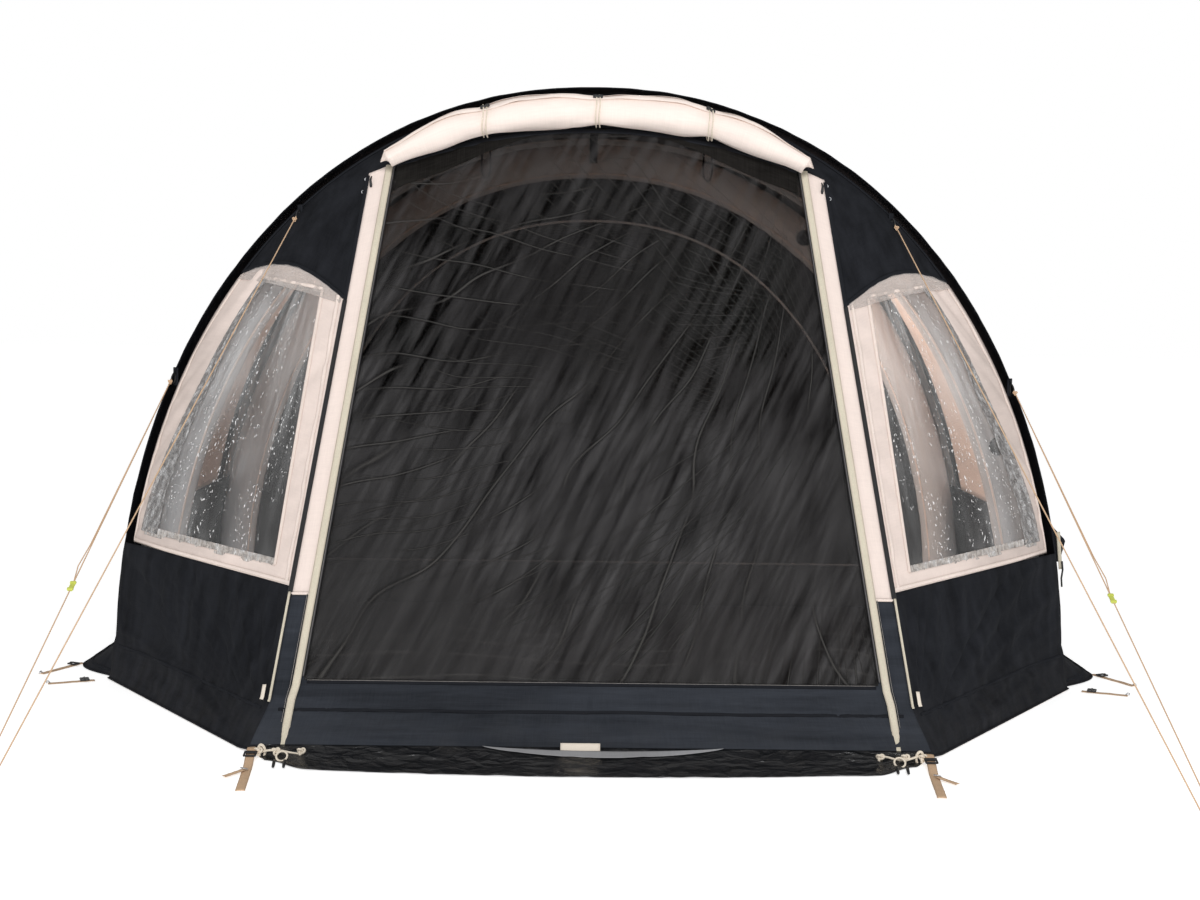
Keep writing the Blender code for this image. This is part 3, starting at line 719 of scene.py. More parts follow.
def mosquito_mesh(name):
    """Fine black netting: see-through, with soft slanting bands of painted sheen, painted highlight and shade
    along thin creases that fan out from one side, and painted highlights on rucks along its foot."""
    finish = Finish(name, "black_mesh", 0.8, 0.05)
    across, _, height = finish.axes("Object")
    bands = finish.noise("Object", (32.0, 0.001, 3.8), 3.0, 0.5, MESH_BAND_LEAN)
    strength = finish.noise("Object", (1.4, 0.0, 1.1), 2.0).ramp(0.38, 0.58, 0.3, 1.0)
    band = (bands - 0.5) * strength + 0.5
    wander = finish.noise("Object", (1.7, 0.0, 1.7), 1.0).ramp(0.0, 1.0, -0.09, 0.09)
    # Each crease is painted as a dark line of shade and a light line of highlight.
    painted_shade_ray = painted_highlight_ray = 0.0
    for (from_x, from_z), count, size, bend in MESH_FANS:
        bearing = finish.math("ARCTAN2", height - from_z, from_x - across) + wander * bend
        near = row_lines(finish, bearing * count)
        here = patchy(finish, size, 0.44, 0.54)
        painted_shade_ray = (near.ramp(0.02, 0.075, 1.0, 0.0) * here).most(painted_shade_ray)
        painted_highlight_ray = (near.ramp(0.0, 0.028, 1.0, 0.0) * here).most(painted_highlight_ray)
    rucks = row_lines(finish, height * 24.0 + wander * 22.0).ramp(0.0, 0.09, 1.0, 0.0)
    at_foot = height.ramp(0.22, 0.42, 1.0, 0.0) * patchy(finish, 4.5, 0.42, 0.52)
    # crease is the mask of painted highlights along the creases and the rucks.
    crease = painted_highlight_ray.most(rucks * at_foot * 0.6)

    # The bands are painted sheen; the colour is also lighter towards the foot and darker higher up.
    finish.tint((0.0275, 0.0268, 0.0272), (band, 1.5), (height.ramp(0.75, 1.35, 1.0, 0.0), 0.34))
    # Painted shade along the creases.
    finish.paint(painted_shade_ray * 0.75, (0.005, 0.005, 0.005))
    # Painted highlights along the creases and rucks.
    finish.paint(crease * 0.5, (0.11, 0.105, 0.10))
    # Where the painted sheen, highlights and shade lie, the netting is also less see-through.
    finish.show(band.ramp(0.35, 0.65, 0.68, 0.80).most(crease.most(painted_shade_ray) * 0.88))
    return finish


def crinkle_lines(finish, scale, width):
    """The sharp edges between the small flats of a crumpled film: 1 on an edge."""
    where = finish.where("UV")
    warp = finish.add("TexNoise", {"Vector": where, "Scale": 9.0, "Detail": 3.0}).outputs["Color"]
    pushed = finish.add("VectorMath", {0: warp, 1: (0.08, 0.08, 0.0), 2: where}, operation="MULTIPLY_ADD")
    place = finish.add("Mapping", {"Vector": pushed.outputs["Vector"], "Scale": scale}).outputs["Vector"]
    cells = finish.value("TexVoronoi", "Distance", {"Vector": place, "Scale": 1.0},
                         feature="DISTANCE_TO_EDGE")
    return cells.ramp(0.0, width, 1.0, 0.0)


def clear_film(name):
    """Clear window film with a painted reflection as a pale veil in streaks, and short painted white glints
    along its creases.
    """
    finish = Finish(name, "clear_pvc", 0.10, 0.6)
    ribbon = finish.noise("UV", (26.0, 3.0, 1.0), 4.0, 0.6)
    patch = finish.noise("UV", (1.9, 1.2, 1.0), 2.0).ramp(0.42, 0.62, 0.1, 1.0)
    # Painted reflection: a pale veil in streaks, less see-through where it lies.
    painted_reflection_veil = patch * ribbon.ramp(0.30, 0.70, 0.03, 0.25)
    spots = finish.noise("UV", (120.0, 60.0, 1.0), 2.0).ramp(0.57, 0.63)
    runs = finish.noise("UV", (9.0, 2.0, 1.0), 2.0).ramp(0.44, 0.54)
    glints = crinkle_lines(finish, (46.0, 20.0, 1.0), 0.09) * spots * runs
    finish.tint((0.80, 0.80, 0.80), (ribbon, 0.1))
    # Painted glints: short white marks along the creases.
    finish.paint(glints, WHITE)
    finish.show((painted_reflection_veil + 0.03).most(glints))
    finish.bump(ribbon, 0.5, 0.004)
    return finish


def crumpled_film(name, colour, cover):
    """Film that has been pressed into many small creases: grey and half clear, with painted white glints
    along the edges.
    """
    finish = Finish(name, "clear_pvc", 0.22, 0.5)
    lines = crinkle_lines(finish, (110.0, 46.0, 1.0), 0.13)
    fine = crinkle_lines(finish, (230.0, 130.0, 1.0), 0.16)
    shade = finish.noise("UV", (90.0, 34.0, 1.0), 4.0, 0.7)
    # Painted glints: white along the crease edges, where the film is also less see-through.
    white = lines.most(fine * 0.6) * finish.noise("UV", (40.0, 20.0, 1.0), 2.0).ramp(0.45, 0.6)
    finish.tint(colour, (shade, 0.55))
    finish.paint(white, (0.93, 0.93, 0.94))
    finish.show(shade.ramp(0.3, 0.7, cover - 0.2, cover + 0.15).most(white))
    finish.bump(lines + shade, 0.7, 0.004)
    return finish


def milky_film(name):
    """The soft, half clear film over the top of a window."""
    finish = Finish(name, "clear_pvc", 0.4, 0.3)
    streaks = finish.noise("UV", (12.0, 70.0, 1.0), 4.0, 0.6)
    finish.tint((0.60, 0.55, 0.52), (streaks, 0.12))
    finish.show(streaks.ramp(0.3, 0.7, 0.24, 0.46))
    finish.bump(streaks, 0.5, 0.003)
    return finish


def gloss_sheet(name):
    """Glossy black film, crumpled into flats with sharp edges, and a little dusty."""
    finish = Finish(name, "mud_flap", 0.20, 0.5)
    creases = finish.noise("UV", (16.0, 30.0, 1.0), 5.0, 0.7)
    folds = crinkle_lines(finish, (4.0, 11.0, 1.0), 0.5)
    fine = crinkle_lines(finish, (13.0, 26.0, 1.0), 0.5)
    dust = finish.noise("Object", 8.0, 5.0, 0.7).ramp(0.55, 0.8, 0.0, 0.15)
    finish.tint((0.012, 0.012, 0.013), (creases, 0.5))
    finish.paint(dust, DUST)
    finish.bump(folds * 1.4 + (fine + creases), 0.9, 0.014)
    return finish


def moulded_plastic(name, slot, colour, roughness):
    finish = Finish(name, slot, roughness, 0.4)
    scuffs = finish.noise("Object", 60.0, 5.0)
    fine = finish.noise("Object", 700.0, 2.0)
    finish.tint(colour, (scuffs, 0.15), (fine, 0.06))
    finish.bump(scuffs + fine, 0.2, 0.0005)
    return finish


def steel_finish(name):
    finish = Finish(name, "steel", 0.32)
    finish.shader["Metallic"].default_value = 1.0
    scuffs = finish.noise("Object", (90.0, 90.0, 14.0), 5.0)
    finish.tint((0.55, 0.56, 0.58), (scuffs, 0.12))
    finish.bump(scuffs, 0.15, 0.0004)
    return finish


def make_finishes():
    """The tent's materials, by what they are used for."""
    FINISH.update({
        # The fold entries in these cottons paint the light and shade of long soft folds into the colour.
        "dark": cotton("dark_cotton", "dark_cotton", DARK, 0.16, 0.10, 0.06, ((20.0, 20.0, 1.5), 0.35)),
        "cream": cotton("cream_cotton", "cream_cotton", CREAM, 0.03, 0.03),
        "roll_cream": cotton("roll_cotton", "cream_cotton", (0.88, 0.765, 0.70), 0.03, 0.03),
        # Painted shade: a darker copy of the cream for the front side panels, darker still towards the
        # arches.
        "side_cream": cotton("side_cream_cotton", "cream_cotton", (0.70, 0.595, 0.545), 0.03, 0.03, 0.0,
                             ((7.0, 7.0, 16.0), 0.08), 0.11),
        "sleeve": cotton("grey_sleeve", "grey_sleeve", (0.55, 0.55, 0.56), 0.04, 0.02),
        "sill": cotton("sill_cotton", "dark_cotton", (0.0285, 0.0320, 0.0395), 0.22, 0.10, 0.05,
                       ((1.6, 1.6, 26.0), 0.35)),
        "inner": cotton("inner_cotton", "dark_cotton", (0.020, 0.020, 0.022), 0.15, 0.10),
        "tray": cotton("tray_cloth", "groundsheet", (0.075, 0.078, 0.084), 0.10, 0.05),
        "floor": cotton("groundsheet", "groundsheet", (0.045, 0.047, 0.050), 0.10, 0.05),
        "tag": cotton("tag_cotton", "cream_cotton", (0.78, 0.70, 0.60), 0.04, 0.05),
        "gathered": cotton("gathered_net", "black_mesh", (0.013, 0.012, 0.011), 0.5, 0.3),
        # Painted shade: the grey of the gap under the sill's hem, laid over the mud flap.
        "hem_gap_shade": cotton("painted_hem_gap_shade", "mud_flap", (0.30, 0.30, 0.31), 0.2, 0.05),
        "net": mosquito_mesh("black_mesh"),
        "dark_seam": stitched("dark_seam", "dark_cotton", DARK, (0.022, 0.024, 0.030)),
        "cream_seam": stitched("cream_seam", "cream_cotton", CREAM, THREAD),
        "khaki": stitched("khaki_flap", "cream_cotton", (0.60, 0.55, 0.44), THREAD),
        "grey_seam": stitched("grey_seam", "cream_cotton", (0.66, 0.66, 0.67), (0.4, 0.4, 0.41)),
        "thread": zip_tape("light_stitches", (0.45, 0.42, 0.40)),
        "zip": zip_tape("black_zip", (0.030, 0.030, 0.032)),
        "light_zip": zip_tape("grey_zip", (0.16, 0.15, 0.15)),
        "clear": clear_film("clear_film"),
        "grey_film": crumpled_film("grey_film", (0.28, 0.27, 0.265), 0.62),
        "silver_film": crumpled_film("silver_film", (0.58, 0.53, 0.49), 0.70),
        "milky_film": milky_film("milky_film"),
        "mud_film": gloss_sheet("mud_film"),
        "webbing": webbing("tan_webbing", TAN),
        "brown_webbing": webbing("brown_webbing", BROWN),
        "rope": braided("tan_rope", "tan_rope", TAN),
        "cord": braided("cream_cord", "tan_rope", (0.72, 0.64, 0.53)),
        "brown_cord": braided("brown_cord", "tan_webbing", BROWN),
        "plastic": moulded_plastic("black_plastic", "black_mesh", (0.016, 0.016, 0.017), 0.42),
        "slider": moulded_plastic("yellow_slider", "tan_rope", (0.55, 0.60, 0.10), 0.40),
        "steel": steel_finish("steel"),
    })


# The tunnel's outline.

def arch_point(angle, inset):
    """Point on the arch outline, from 0 at the right foot to pi at the left foot."""
    power = 2.0 / ROUNDNESS
    x = (HALF_WIDTH - inset) * squared_cos(angle, power)
    z = (HEIGHT - inset) * abs(math.sin(angle)) ** power
    return x, z


def arch_angle(z):
    return math.asin(min(1.0, z / HEIGHT) ** (ROUNDNESS / 2.0))


def arch_x(z, inset):
    return (HALF_WIDTH - inset) * (1.0 - (z / (HEIGHT - inset)) ** ROUNDNESS) ** (1.0 / ROUNDNESS)


def arch_z(x, inset):
    return (HEIGHT - inset) * (1.0 - abs(x / (HALF_WIDTH - inset)) ** ROUNDNESS) ** (1.0 / ROUNDNESS)


def arch_turn(share, foot):
    start = arch_angle(foot)
    return start + (math.pi - 2.0 * start) * share


def arch_place(share, y, inset, foot=0.0):
    """A point on the arch, share 0 at the right foot and 1 at the left."""
    x, z = arch_point(arch_turn(share, foot), inset)
    return at(x, y, foot if share in (0.0, 1.0) else z)


def sag(y, angle):
    """How far the canopy's cloth dips between the arches, most in the middle of its span and at the top."""
    start, end = LIVING_SPAN if y < MIDDLE_ARCH_Y else BEDROOM_SPAN
    share = min(max((y - start) / (end - start), 0.0), 1.0)
    return SADDLE * math.sin(math.pi * share) * math.sin(angle)


# The bays' surfaces, as in the CAD.

def slope_y(bay, z):
    arch_y, fold_run, hem_run, direction = bay
    if z >= FOLD_Z:
        run = fold_run * (BAY_TOP - z) / (BAY_TOP - FOLD_Z)
    else:
        run = fold_run + (hem_run - fold_run) * (1.0 - z / FOLD_Z)
    return arch_y + direction * run


def slope_place(bay, x, z):
    return at(x, slope_y(bay, z), z)


def door_top(x):
    return DOOR_TOP - DOOR_TOP_DROP * (x / DOOR_TOP_DROP_AT) ** 2


def slope_line_x(offset, z):
    """How far out a line runs that keeps an offset from the corner seam, at a height."""
    if z < FOLD_Z:
        return SEAM_FOLD_X - offset + (SEAM_HEM_X - SEAM_FOLD_X) * (1.0 - z / FOLD_Z)
    top_x = SEAM_TOP_X - offset
    top_z = door_top(top_x)
    return top_x + (SEAM_FOLD_X - SEAM_TOP_X) * (top_z - z) / (top_z - FOLD_Z)


SEAM_TOP_Z = door_top(SEAM_TOP_X)
ARCH_TOP_Z = arch_z(SEAM_TOP_X, SLEEVE_THICKNESS)
FOLD_SHARE = FOLD_Z / SEAM_TOP_Z


def facet_out(side, direction=-1.0):
    return at(side * 0.62, direction * 0.75, 0.22)


def facet_place(bay, side, across, share):
    """Side facet: across 0 to 1 from the corner seam to the arch, share 0 to 1 from ground to top.
    The cloth bows out a little, most where it runs over the air tube."""
    arch_y, _, _, direction = bay
    seam_z = share * SEAM_TOP_Z
    corner = slope_place(bay, side * slope_line_x(0.0, seam_z), seam_z)
    edge_z = share * ARCH_TOP_Z
    below = max(0.0, 1.0 - share / FOLD_SHARE)
    edge_x = arch_x(edge_z, SLEEVE_THICKNESS) + (ARCH_HEM_X - HALF_WIDTH + SLEEVE_THICKNESS) * below
    edge = at(side * edge_x, arch_y + direction * ARCH_HEM_RUN * below, edge_z)
    bow = FACET_BOW * math.sin(math.pi * across ** 1.6)
    bow *= ease(share, 0.05, 0.3) * (1.0 - ease(share, 0.8, 1.0))
    return corner.lerp(edge, across) + facet_out(side, direction) * bow


def window_edges(bay, share):
    """How far across the facet the window starts and ends, at a height share."""
    width = (facet_place(bay, 1, 0.0, share) - facet_place(bay, 1, 1.0, share)).length
    margin = WINDOW_ARCH_MARGIN + WINDOW_ARCH_WIDENING * ease(share, WINDOW_BOTTOM, WINDOW_WIDE_AT)
    return WINDOW_SEAM_MARGIN / width, 1.0 - margin / width


def side_panel_top(across):
    return SIDE_PANEL_TOP + SIDE_PANEL_RISE * across + SIDE_PANEL_CROWN * math.sin(math.pi * across)


def window_share(across, climb):
    """The height share at a climb of 0 to 1 up the window."""
    top = min(WINDOW_TOP, side_panel_top(across) - WINDOW_TOP_MARGIN)
    return WINDOW_BOTTOM + (top - WINDOW_BOTTOM) * climb


# Relief: how cloth under tension departs from a smooth surface.

def rumple(point, stretch, seed):
    """Smooth noise from -1 to 1; stretch gives the size of its waves along x, y and z."""
    return ripple(point.x / stretch[0] + seed, point.y / stretch[1], point.z / stretch[2])


def leaning(point, lean):
    return at(point.x + point.z * lean, 0.0, point.z)


def fan(across, up, folds, seed):
    """Folds that fan out from the corner at (0, 0), softer close to it."""
    bearing = math.atan2(up, across)
    reach = math.hypot(across, up)
    return ripple(bearing * folds, reach * 1.5, seed) * ease(reach, 0.02, 0.35)


def in_from(share, width):
    """0 at both ends of a share from 0 to 1, rising to 1 within the width."""
    return ease(min(share, 1.0 - share), 0.0, width)


# The tunnel's surfaces.

def arch_skin(y_from):
    """The sleeve over an end arch, full towards the bay and drawn in where the canopy meets it."""
    towards_bay = 1.0 if y_from > MIDDLE_ARCH_Y else 0.0

    def place(u, v):
        from_bay = abs(v - towards_bay)
        inset = 0.003 * (1.0 - ease(from_bay, 0.0, 0.15)) + 0.026 * ease(from_bay, 0.6, 1.0)
        return arch_place(u, y_from + SLEEVE_WIDTH * v, inset)

    def relief(u, v, point):
        near_edge = abs(2.0 * v - 1.0) ** 2
        pucker = ripple(u * 90.0, v * 1.5, y_from)
        slow = ripple(u * 14.0, v * 2.0, y_from + 5.0)
        return 0.0020 * pucker * (0.25 + 0.75 * near_edge) + 0.0022 * slow - 0.002

    return relieved(place, relief)


def canopy_skin(span):
    """A roof between two arches, dipping between them."""
    y_from, y_to = span

    def place(u, v):
        y = y_from + (y_to - y_from) * v
        return arch_place(u, y, sag(y, arch_turn(u, BASE_TOP)), BASE_TOP)

    def relief(u, v, point):
        tense = rumple(point, (0.10, 0.9, 0.10), 3.0 + y_from)
        slanting = at(point.x + point.y * 0.5, point.y, point.z)
        lean = rumple(slanting, (0.22, 0.5, 0.22), 9.0 + y_from)
        pulled = ripple(u * 70.0, 0.0, y_from) * (1.0 - in_from(v, 0.22))
        inwards = in_from(u, 0.03) * in_from(v, 0.10)
        return (0.006 * tense + 0.010 * lean) * inwards + 0.0025 * pulled * in_from(v, 0.03)

    return relieved(place, relief)


def band_skin(u, v):
    """The dark band over the middle arch."""
    crown = 1.0 - abs(2.0 * v - 1.0) ** 2
    lift = 0.004 * crown + 0.0012 * ripple(u * 80.0, v * 2.0, 2.0)
    return arch_place(u, LIVING_SPAN[1] + MIDDLE_SLEEVE_WIDTH * v, -lift, BASE_TOP)


def side_wall_skin(side):
    """The dark panel along the foot of the tunnel's side, dipping between the arches."""
    def place(u, v):
        y = SLEEVE_WIDTH + (REAR_SLEEVE_Y - SLEEVE_WIDTH) * u
        z = BASE_TOP * v
        angle = arch_angle(z)
        return at(side * arch_point(angle, sag(y, angle))[0], y, z)

    def relief(u, v, point):
        hang_folds = rumple(point, (1.0, 0.13, 0.7), 4.0 * side)
        fine = rumple(point, (1.0, 0.05, 0.3), 9.0 * side)
        return (0.009 * hang_folds + 0.003 * fine) * in_from(u, 0.03) * in_from(v, 0.2)

    return relieved(place, relief)


def skirt_skin(side):
    """The skirt that flares from the side's foot, drawn in to the arches at both ends."""
    def place(u, v):
        y = REAR_ARCH_Y * u
        from_end = min(y, REAR_ARCH_Y - y)
        flare = SKIRT_START + SKIRT_FLARE * math.sin(min(1.0, from_end / SKIRT_CORNER) * math.pi / 2.0)
        off_arch = 0.008 * ease(from_end, 0.0, 0.10) - 0.004
        return at(side * (HALF_WIDTH + off_arch + flare * v ** 1.5), y, SKIRT_HEIGHT * (1.0 - v) + ON_GROUND)

    def relief(u, v, point):
        ruck = rumple(point, (0.3, 0.10, 0.3), 8.0 * side)
        fine = rumple(point, (0.2, 0.04, 0.2), 2.0)
        return (0.006 * ruck + 0.004 * fine) * ease(v, 0.0, 0.3) * (1.0 - 0.75 * v)

    return relieved(place, relief)


# The bays' skins.

def hood_skin(bay):
    """The dark panel between the arch and the windows and door, over from one side to the other."""
    stations = [(-1, climb) for climb in shares(HOOD_SIDE_STEPS)]
    stations += [(0, x) for x in spread(-SEAM_TOP_X, SEAM_TOP_X, HOOD_TOP_STEPS)[1:-1]]
    stations += [(1, climb) for climb in spread(1.0, 0.0, HOOD_SIDE_STEPS)]

    def at_station(number, v):
        side, value = stations[number]
        if side:
            low = side_panel_top(v)
            return facet_place(bay, side, v, low + (1.0 - low) * value)
        on_arch = at(value, bay[0], arch_z(value, SLEEVE_THICKNESS))
        return slope_place(bay, value, door_top(value)).lerp(on_arch, v)

    def place(u, v):
        number = u * (len(stations) - 1)
        before = min(int(number), len(stations) - 2)
        return at_station(before, v).lerp(at_station(before + 1, v), number - before)

    def relief(u, v, point):
        slanting = at(abs(point.x) + point.z * 0.6, point.y, point.z - abs(point.x) * 0.6)
        pull = rumple(slanting, (0.07, 0.5, 0.4), 5.0)
        soft = rumple(slanting, (0.2, 0.5, 0.25), 1.0)
        return (0.0035 * pull + 0.006 * soft) * in_from(u, 0.03) * in_from(v, 0.16)

    return relieved(place, relief)


def side_panel_skin(bay, side):
    """The cream panel of a side facet. In the front bay its middle block of cells makes room for a window."""
    def place(u, v):
        share = stepwise(v, WINDOW_ROWS, (SIDE_BASE_TOP, WINDOW_BOTTOM, WINDOW_TOP, WINDOW_TOP))
        inner, outer = window_edges(bay, share)
        across = stepwise(u, WINDOW_COLUMNS, (0.0, inner, outer, 1.0))
        if v > WINDOW_ROWS[2]:
            low, high = window_share(across, 1.0), side_panel_top(across)
            share = low + (high - low) * (v - WINDOW_ROWS[2]) / (1.0 - WINDOW_ROWS[2])
        elif v > WINDOW_ROWS[1]:
            share = window_share(across, (v - WINDOW_ROWS[1]) / (WINDOW_ROWS[2] - WINDOW_ROWS[1]))
        return facet_place(bay, side, across, share)

    def relief(u, v, point):
        slanting = at(point.x, point.y, point.z + 1.1 * abs(point.x))
        drape = rumple(slanting, (0.5, 0.5, 0.085), 3.0 * side)
        fine = rumple(slanting, (0.3, 0.3, 0.032), 7.0 * side)
        inwards = min(u, 1.0 - u)
        if bay is FRONT_BAY:
            inwards = min(inwards, abs(u - WINDOW_COLUMNS[1]), abs(u - WINDOW_COLUMNS[2]))
        towards_arch = 0.35 + 0.65 * ease(u, 0.6, 0.9)
        return (0.013 * drape + 0.0085 * fine) * towards_arch * ease(inwards, 0.0, 0.07) * in_from(v, 0.06)

    return relieved(place, relief)


def in_window(u, v):
    low, high = WINDOW_COLUMNS[1], WINDOW_COLUMNS[2]
    return low < u < high and WINDOW_ROWS[1] < v < WINDOW_ROWS[2]


def window_skin(side):
    """The clear pane, a little loose, and crinkled most near the arch."""
    def place(u, v):
        inner, outer = window_edges(FRONT_BAY, WINDOW_BOTTOM + (WINDOW_TOP - WINDOW_BOTTOM) * v)
        across = inner + (outer - inner) * u
        return facet_place(FRONT_BAY, side, across, window_share(across, v))

    def relief(u, v, point):
        loose = rumple(point, (0.12, 0.12, 0.3), 6.0 * side)
        crinkle = abs(rumple(point, (0.035, 0.035, 0.07), 2.0))
        crinkle += 0.5 * abs(rumple(point, (0.014, 0.014, 0.03), 7.0))
        outer = 0.35 + 0.65 * ease(u, 0.75, 0.95)
        inwards = ease(min(u, 1.0 - u, v, 1.0 - v), 0.0, 0.05)
        return (0.005 * loose + 0.006 * crinkle * outer) * inwards - 0.002

    return relieved(place, relief)


def side_base_skin(bay, side):
    """The dark panel under a side facet, which reaches a little over the arch and stops at the ground."""
    def place(u, v):
        share = stepwise(v, (0.0, 0.3, 1.0), (0.0, FOLD_SHARE, SIDE_BASE_TOP))
        point = facet_place(bay, side, u, share)
        lift = 0.4 * HEM_LIFT * (1.0 - ease(u, 0.0, 0.10)) * (1.0 - ease(v, 0.0, 0.3))
        wider = BASE_OVERLAP * ease(u, 0.75, 1.0) * ease(v, 0.0, 0.3)
        return at(point.x + side * wider, point.y + bay[3] * 0.1 * wider, max(point.z + lift, ON_GROUND))

    def relief(u, v, point):
        upright = ripple(u * 15.0, v * 0.9, 5.0 * side) * ease(v, 0.15, 0.6) * (1.0 - 0.6 * u)
        from_corner = fan(u, v * 0.6, 11.0, 2.0 * side) + 0.5 * fan(u, v * 0.6, 27.0, 9.0 * side)
        from_arch = fan(1.0 - u, v * 0.6, 7.0, 4.0 * side)
        folds = 0.019 * upright + 0.015 * from_corner + 0.008 * from_arch
        return folds * in_from(u, 0.06) * in_from(v, 0.10)

    return relieved(place, relief)


def strip_skin(side):
    """The cream strip beside the mesh door."""
    def place(u, v):
        offset = STRIP_WIDTH * u
        z = STRIP_BOTTOM + (door_top(SEAM_TOP_X - offset) - STRIP_BOTTOM) * v
        return slope_place(FRONT_BAY, side * slope_line_x(offset, z), z)

    def relief(u, v, point):
        return 0.0022 * rumple(point, (0.03, 0.4, 0.10), 2.0 * side) * in_from(u, 0.2)

    return relieved(place, relief)


def mesh_door_skin():
    """The mesh between the two strips, from the sill to the roll."""
    def place(u, v):
        share = 2.0 * u - 1.0
        z = SILL_TOP + (door_top(share * (SEAM_TOP_X - STRIP_WIDTH)) - SILL_TOP) * v
        return slope_place(FRONT_BAY, share * slope_line_x(STRIP_WIDTH, z), z)

    def relief(u, v, point):
        lean = rumple(leaning(point, -0.6), (0.07, 1.0, 0.8), 4.0)
        return 0.005 * lean * ease(min(u, 1.0 - u, v, 1.0 - v), 0.0, 0.08)

    return relieved(place, relief)


def sill_skin():
    """The dark panel under the door, with a riser beside each edge of the mesh. Its hem hangs clear of the
    ground between the corners."""
    def place(u, v):
        z = stepwise(v, (0.0, 0.35, SILL_RISE, 1.0), (0.0, FOLD_Z, SILL_TOP, STRIP_BOTTOM))
        outer = slope_line_x(0.0, z)
        inner = slope_line_x(STRIP_WIDTH, z)
        x = stepwise(u, (0.0, SILL_EDGE, 1.0 - SILL_EDGE, 1.0), (-outer, -inner, inner, outer))
        return slope_place(FRONT_BAY, x, z) + UP * (HEM_LIFT * (1.0 - ease(v, 0.0, 0.35)))

    def relief(u, v, point):
        near = min(u, 1.0 - u)
        corner = fan(near * 2.0, v * 0.5, 17.0, 3.0 if u < 0.5 else 8.0)
        lie = rumple(point, (0.45, 0.2, 0.05), 1.0) + 0.5 * rumple(point, (0.15, 0.2, 0.03), 6.0)
        inwards = ease(near, 0.0, 0.03) * ease(v, 0.0, 0.1) * ease(SILL_RISE - v, 0.0, 0.12)
        return (0.006 * lie + 0.010 * corner) * inwards

    return relieved(place, relief)


def in_mesh(u, v):
    return SILL_EDGE < u < 1.0 - SILL_EDGE and v > SILL_RISE


def rear_wall_skin(low, high=None):
    """A whole-width panel of the rear bay between two heights, or up to the hood."""
    def place(u, v):
        share = 2.0 * u - 1.0
        z = low + ((high or door_top(share * SEAM_TOP_X)) - low) * v
        return slope_place(REAR_BAY, share * slope_line_x(0.0, z), max(z, ON_GROUND))

    def relief(u, v, point):
        hang_folds = rumple(point, (0.13, 0.3, 0.7), 2.0 + low)
        slant = rumple(leaning(point, 0.8), (0.10, 1.0, 0.5), 6.0 + low)
        corner = fan(min(u, 1.0 - u) * 2.0, v, 9.0, 4.0 if u < 0.5 else 1.0)
        return (0.008 * hang_folds + 0.006 * slant + 0.007 * corner) * in_from(u, 0.08) * in_from(v, 0.06)

    return relieved(place, relief)


# The clear windows.

def make_window(side):
    """The clear pane, the crumpled film along its outer and lower edges, and the milky film over its top."""
    word = WORDS[side]
    name = f"window_film_{word}"
    skin = window_skin(side)
    out = facet_out(side)
    facet_across = facet_place(FRONT_BAY, side, 1.0, 0.5) - facet_place(FRONT_BAY, side, 0.0, 0.5)
    cloth(name, (80, 110), skin, "clear", [f"clear_window_{word}"], [f"front_side_{word}"], thickness=FILM)

    def outer_strip(u, v):
        width = 0.155 - 0.08 * v + 0.010 * ripple(v * 9.0, side, 0.0)
        across = 1.0 + 0.02 - width * (1.0 - u)
        wave = ripple(u * 5.0, v * 50.0, side) + 0.6 * ripple(u * 14.0, v * 90.0, 3.0)
        lift = 0.005 + 0.0055 * wave * (0.3 + 0.7 * math.sin(math.pi * u))
        return skin(min(across, 1.0), v) + out * lift + facet_across * max(across - 1.0, 0.0)

    cloth(f"film_edge_{word}", (14, 180), outer_strip, "grey_film", [], [name], thickness=FILM)

    def lower_strip(u, v):
        wave = ripple(u * 40.0, v * 4.0, side) + 0.6 * ripple(u * 100.0, v * 8.0, 3.0)
        lift = 0.004 + 0.0035 * wave * math.sin(math.pi * v)
        return skin(u, 0.024 * v) + out * lift - UP * (0.012 * (1.0 - v))

    cloth(f"film_hem_{word}", (150, 8), lower_strip, "silver_film", [], [name], thickness=FILM)

    def top_film(u, v):
        across = 0.03 + 0.94 * u
        high = side_panel_top(across) + 0.002
        low = high - 0.010 - 0.030 * math.sin(math.pi * across)
        lift = 0.004 + 0.002 * ripple(u * 12.0, v * 3.0, side)
        return facet_place(FRONT_BAY, side, across, low + (high - low) * v) + out * lift

    cloth(f"film_top_{word}", (70, 8), top_film, "milky_film", [], ["front_hood"], thickness=FILM)


# The rolled-up door.

def near_ties(x, width):
    return [math.exp(-((x - tie) / width) ** 2) for tie in ROLL_TIES]


def roll_radius(x):
    taper = ROLL_END_TAPER * ease(abs(x) / ROLL_HALF_LENGTH, ROLL_TAPER_FROM, 1.0)
    return ROLL_RADIUS - ROLL_PINCH * sum(near_ties(x, ROLL_PINCH_WIDTH)) - taper


def roll_centre(x):
    z = ROLL_TOP - ROLL_DROP * abs(x / ROLL_HALF_LENGTH) ** ROLL_DROP_POWER
    return at(x, slope_y(FRONT_BAY, z) - ROLL_STANDOFF, z)


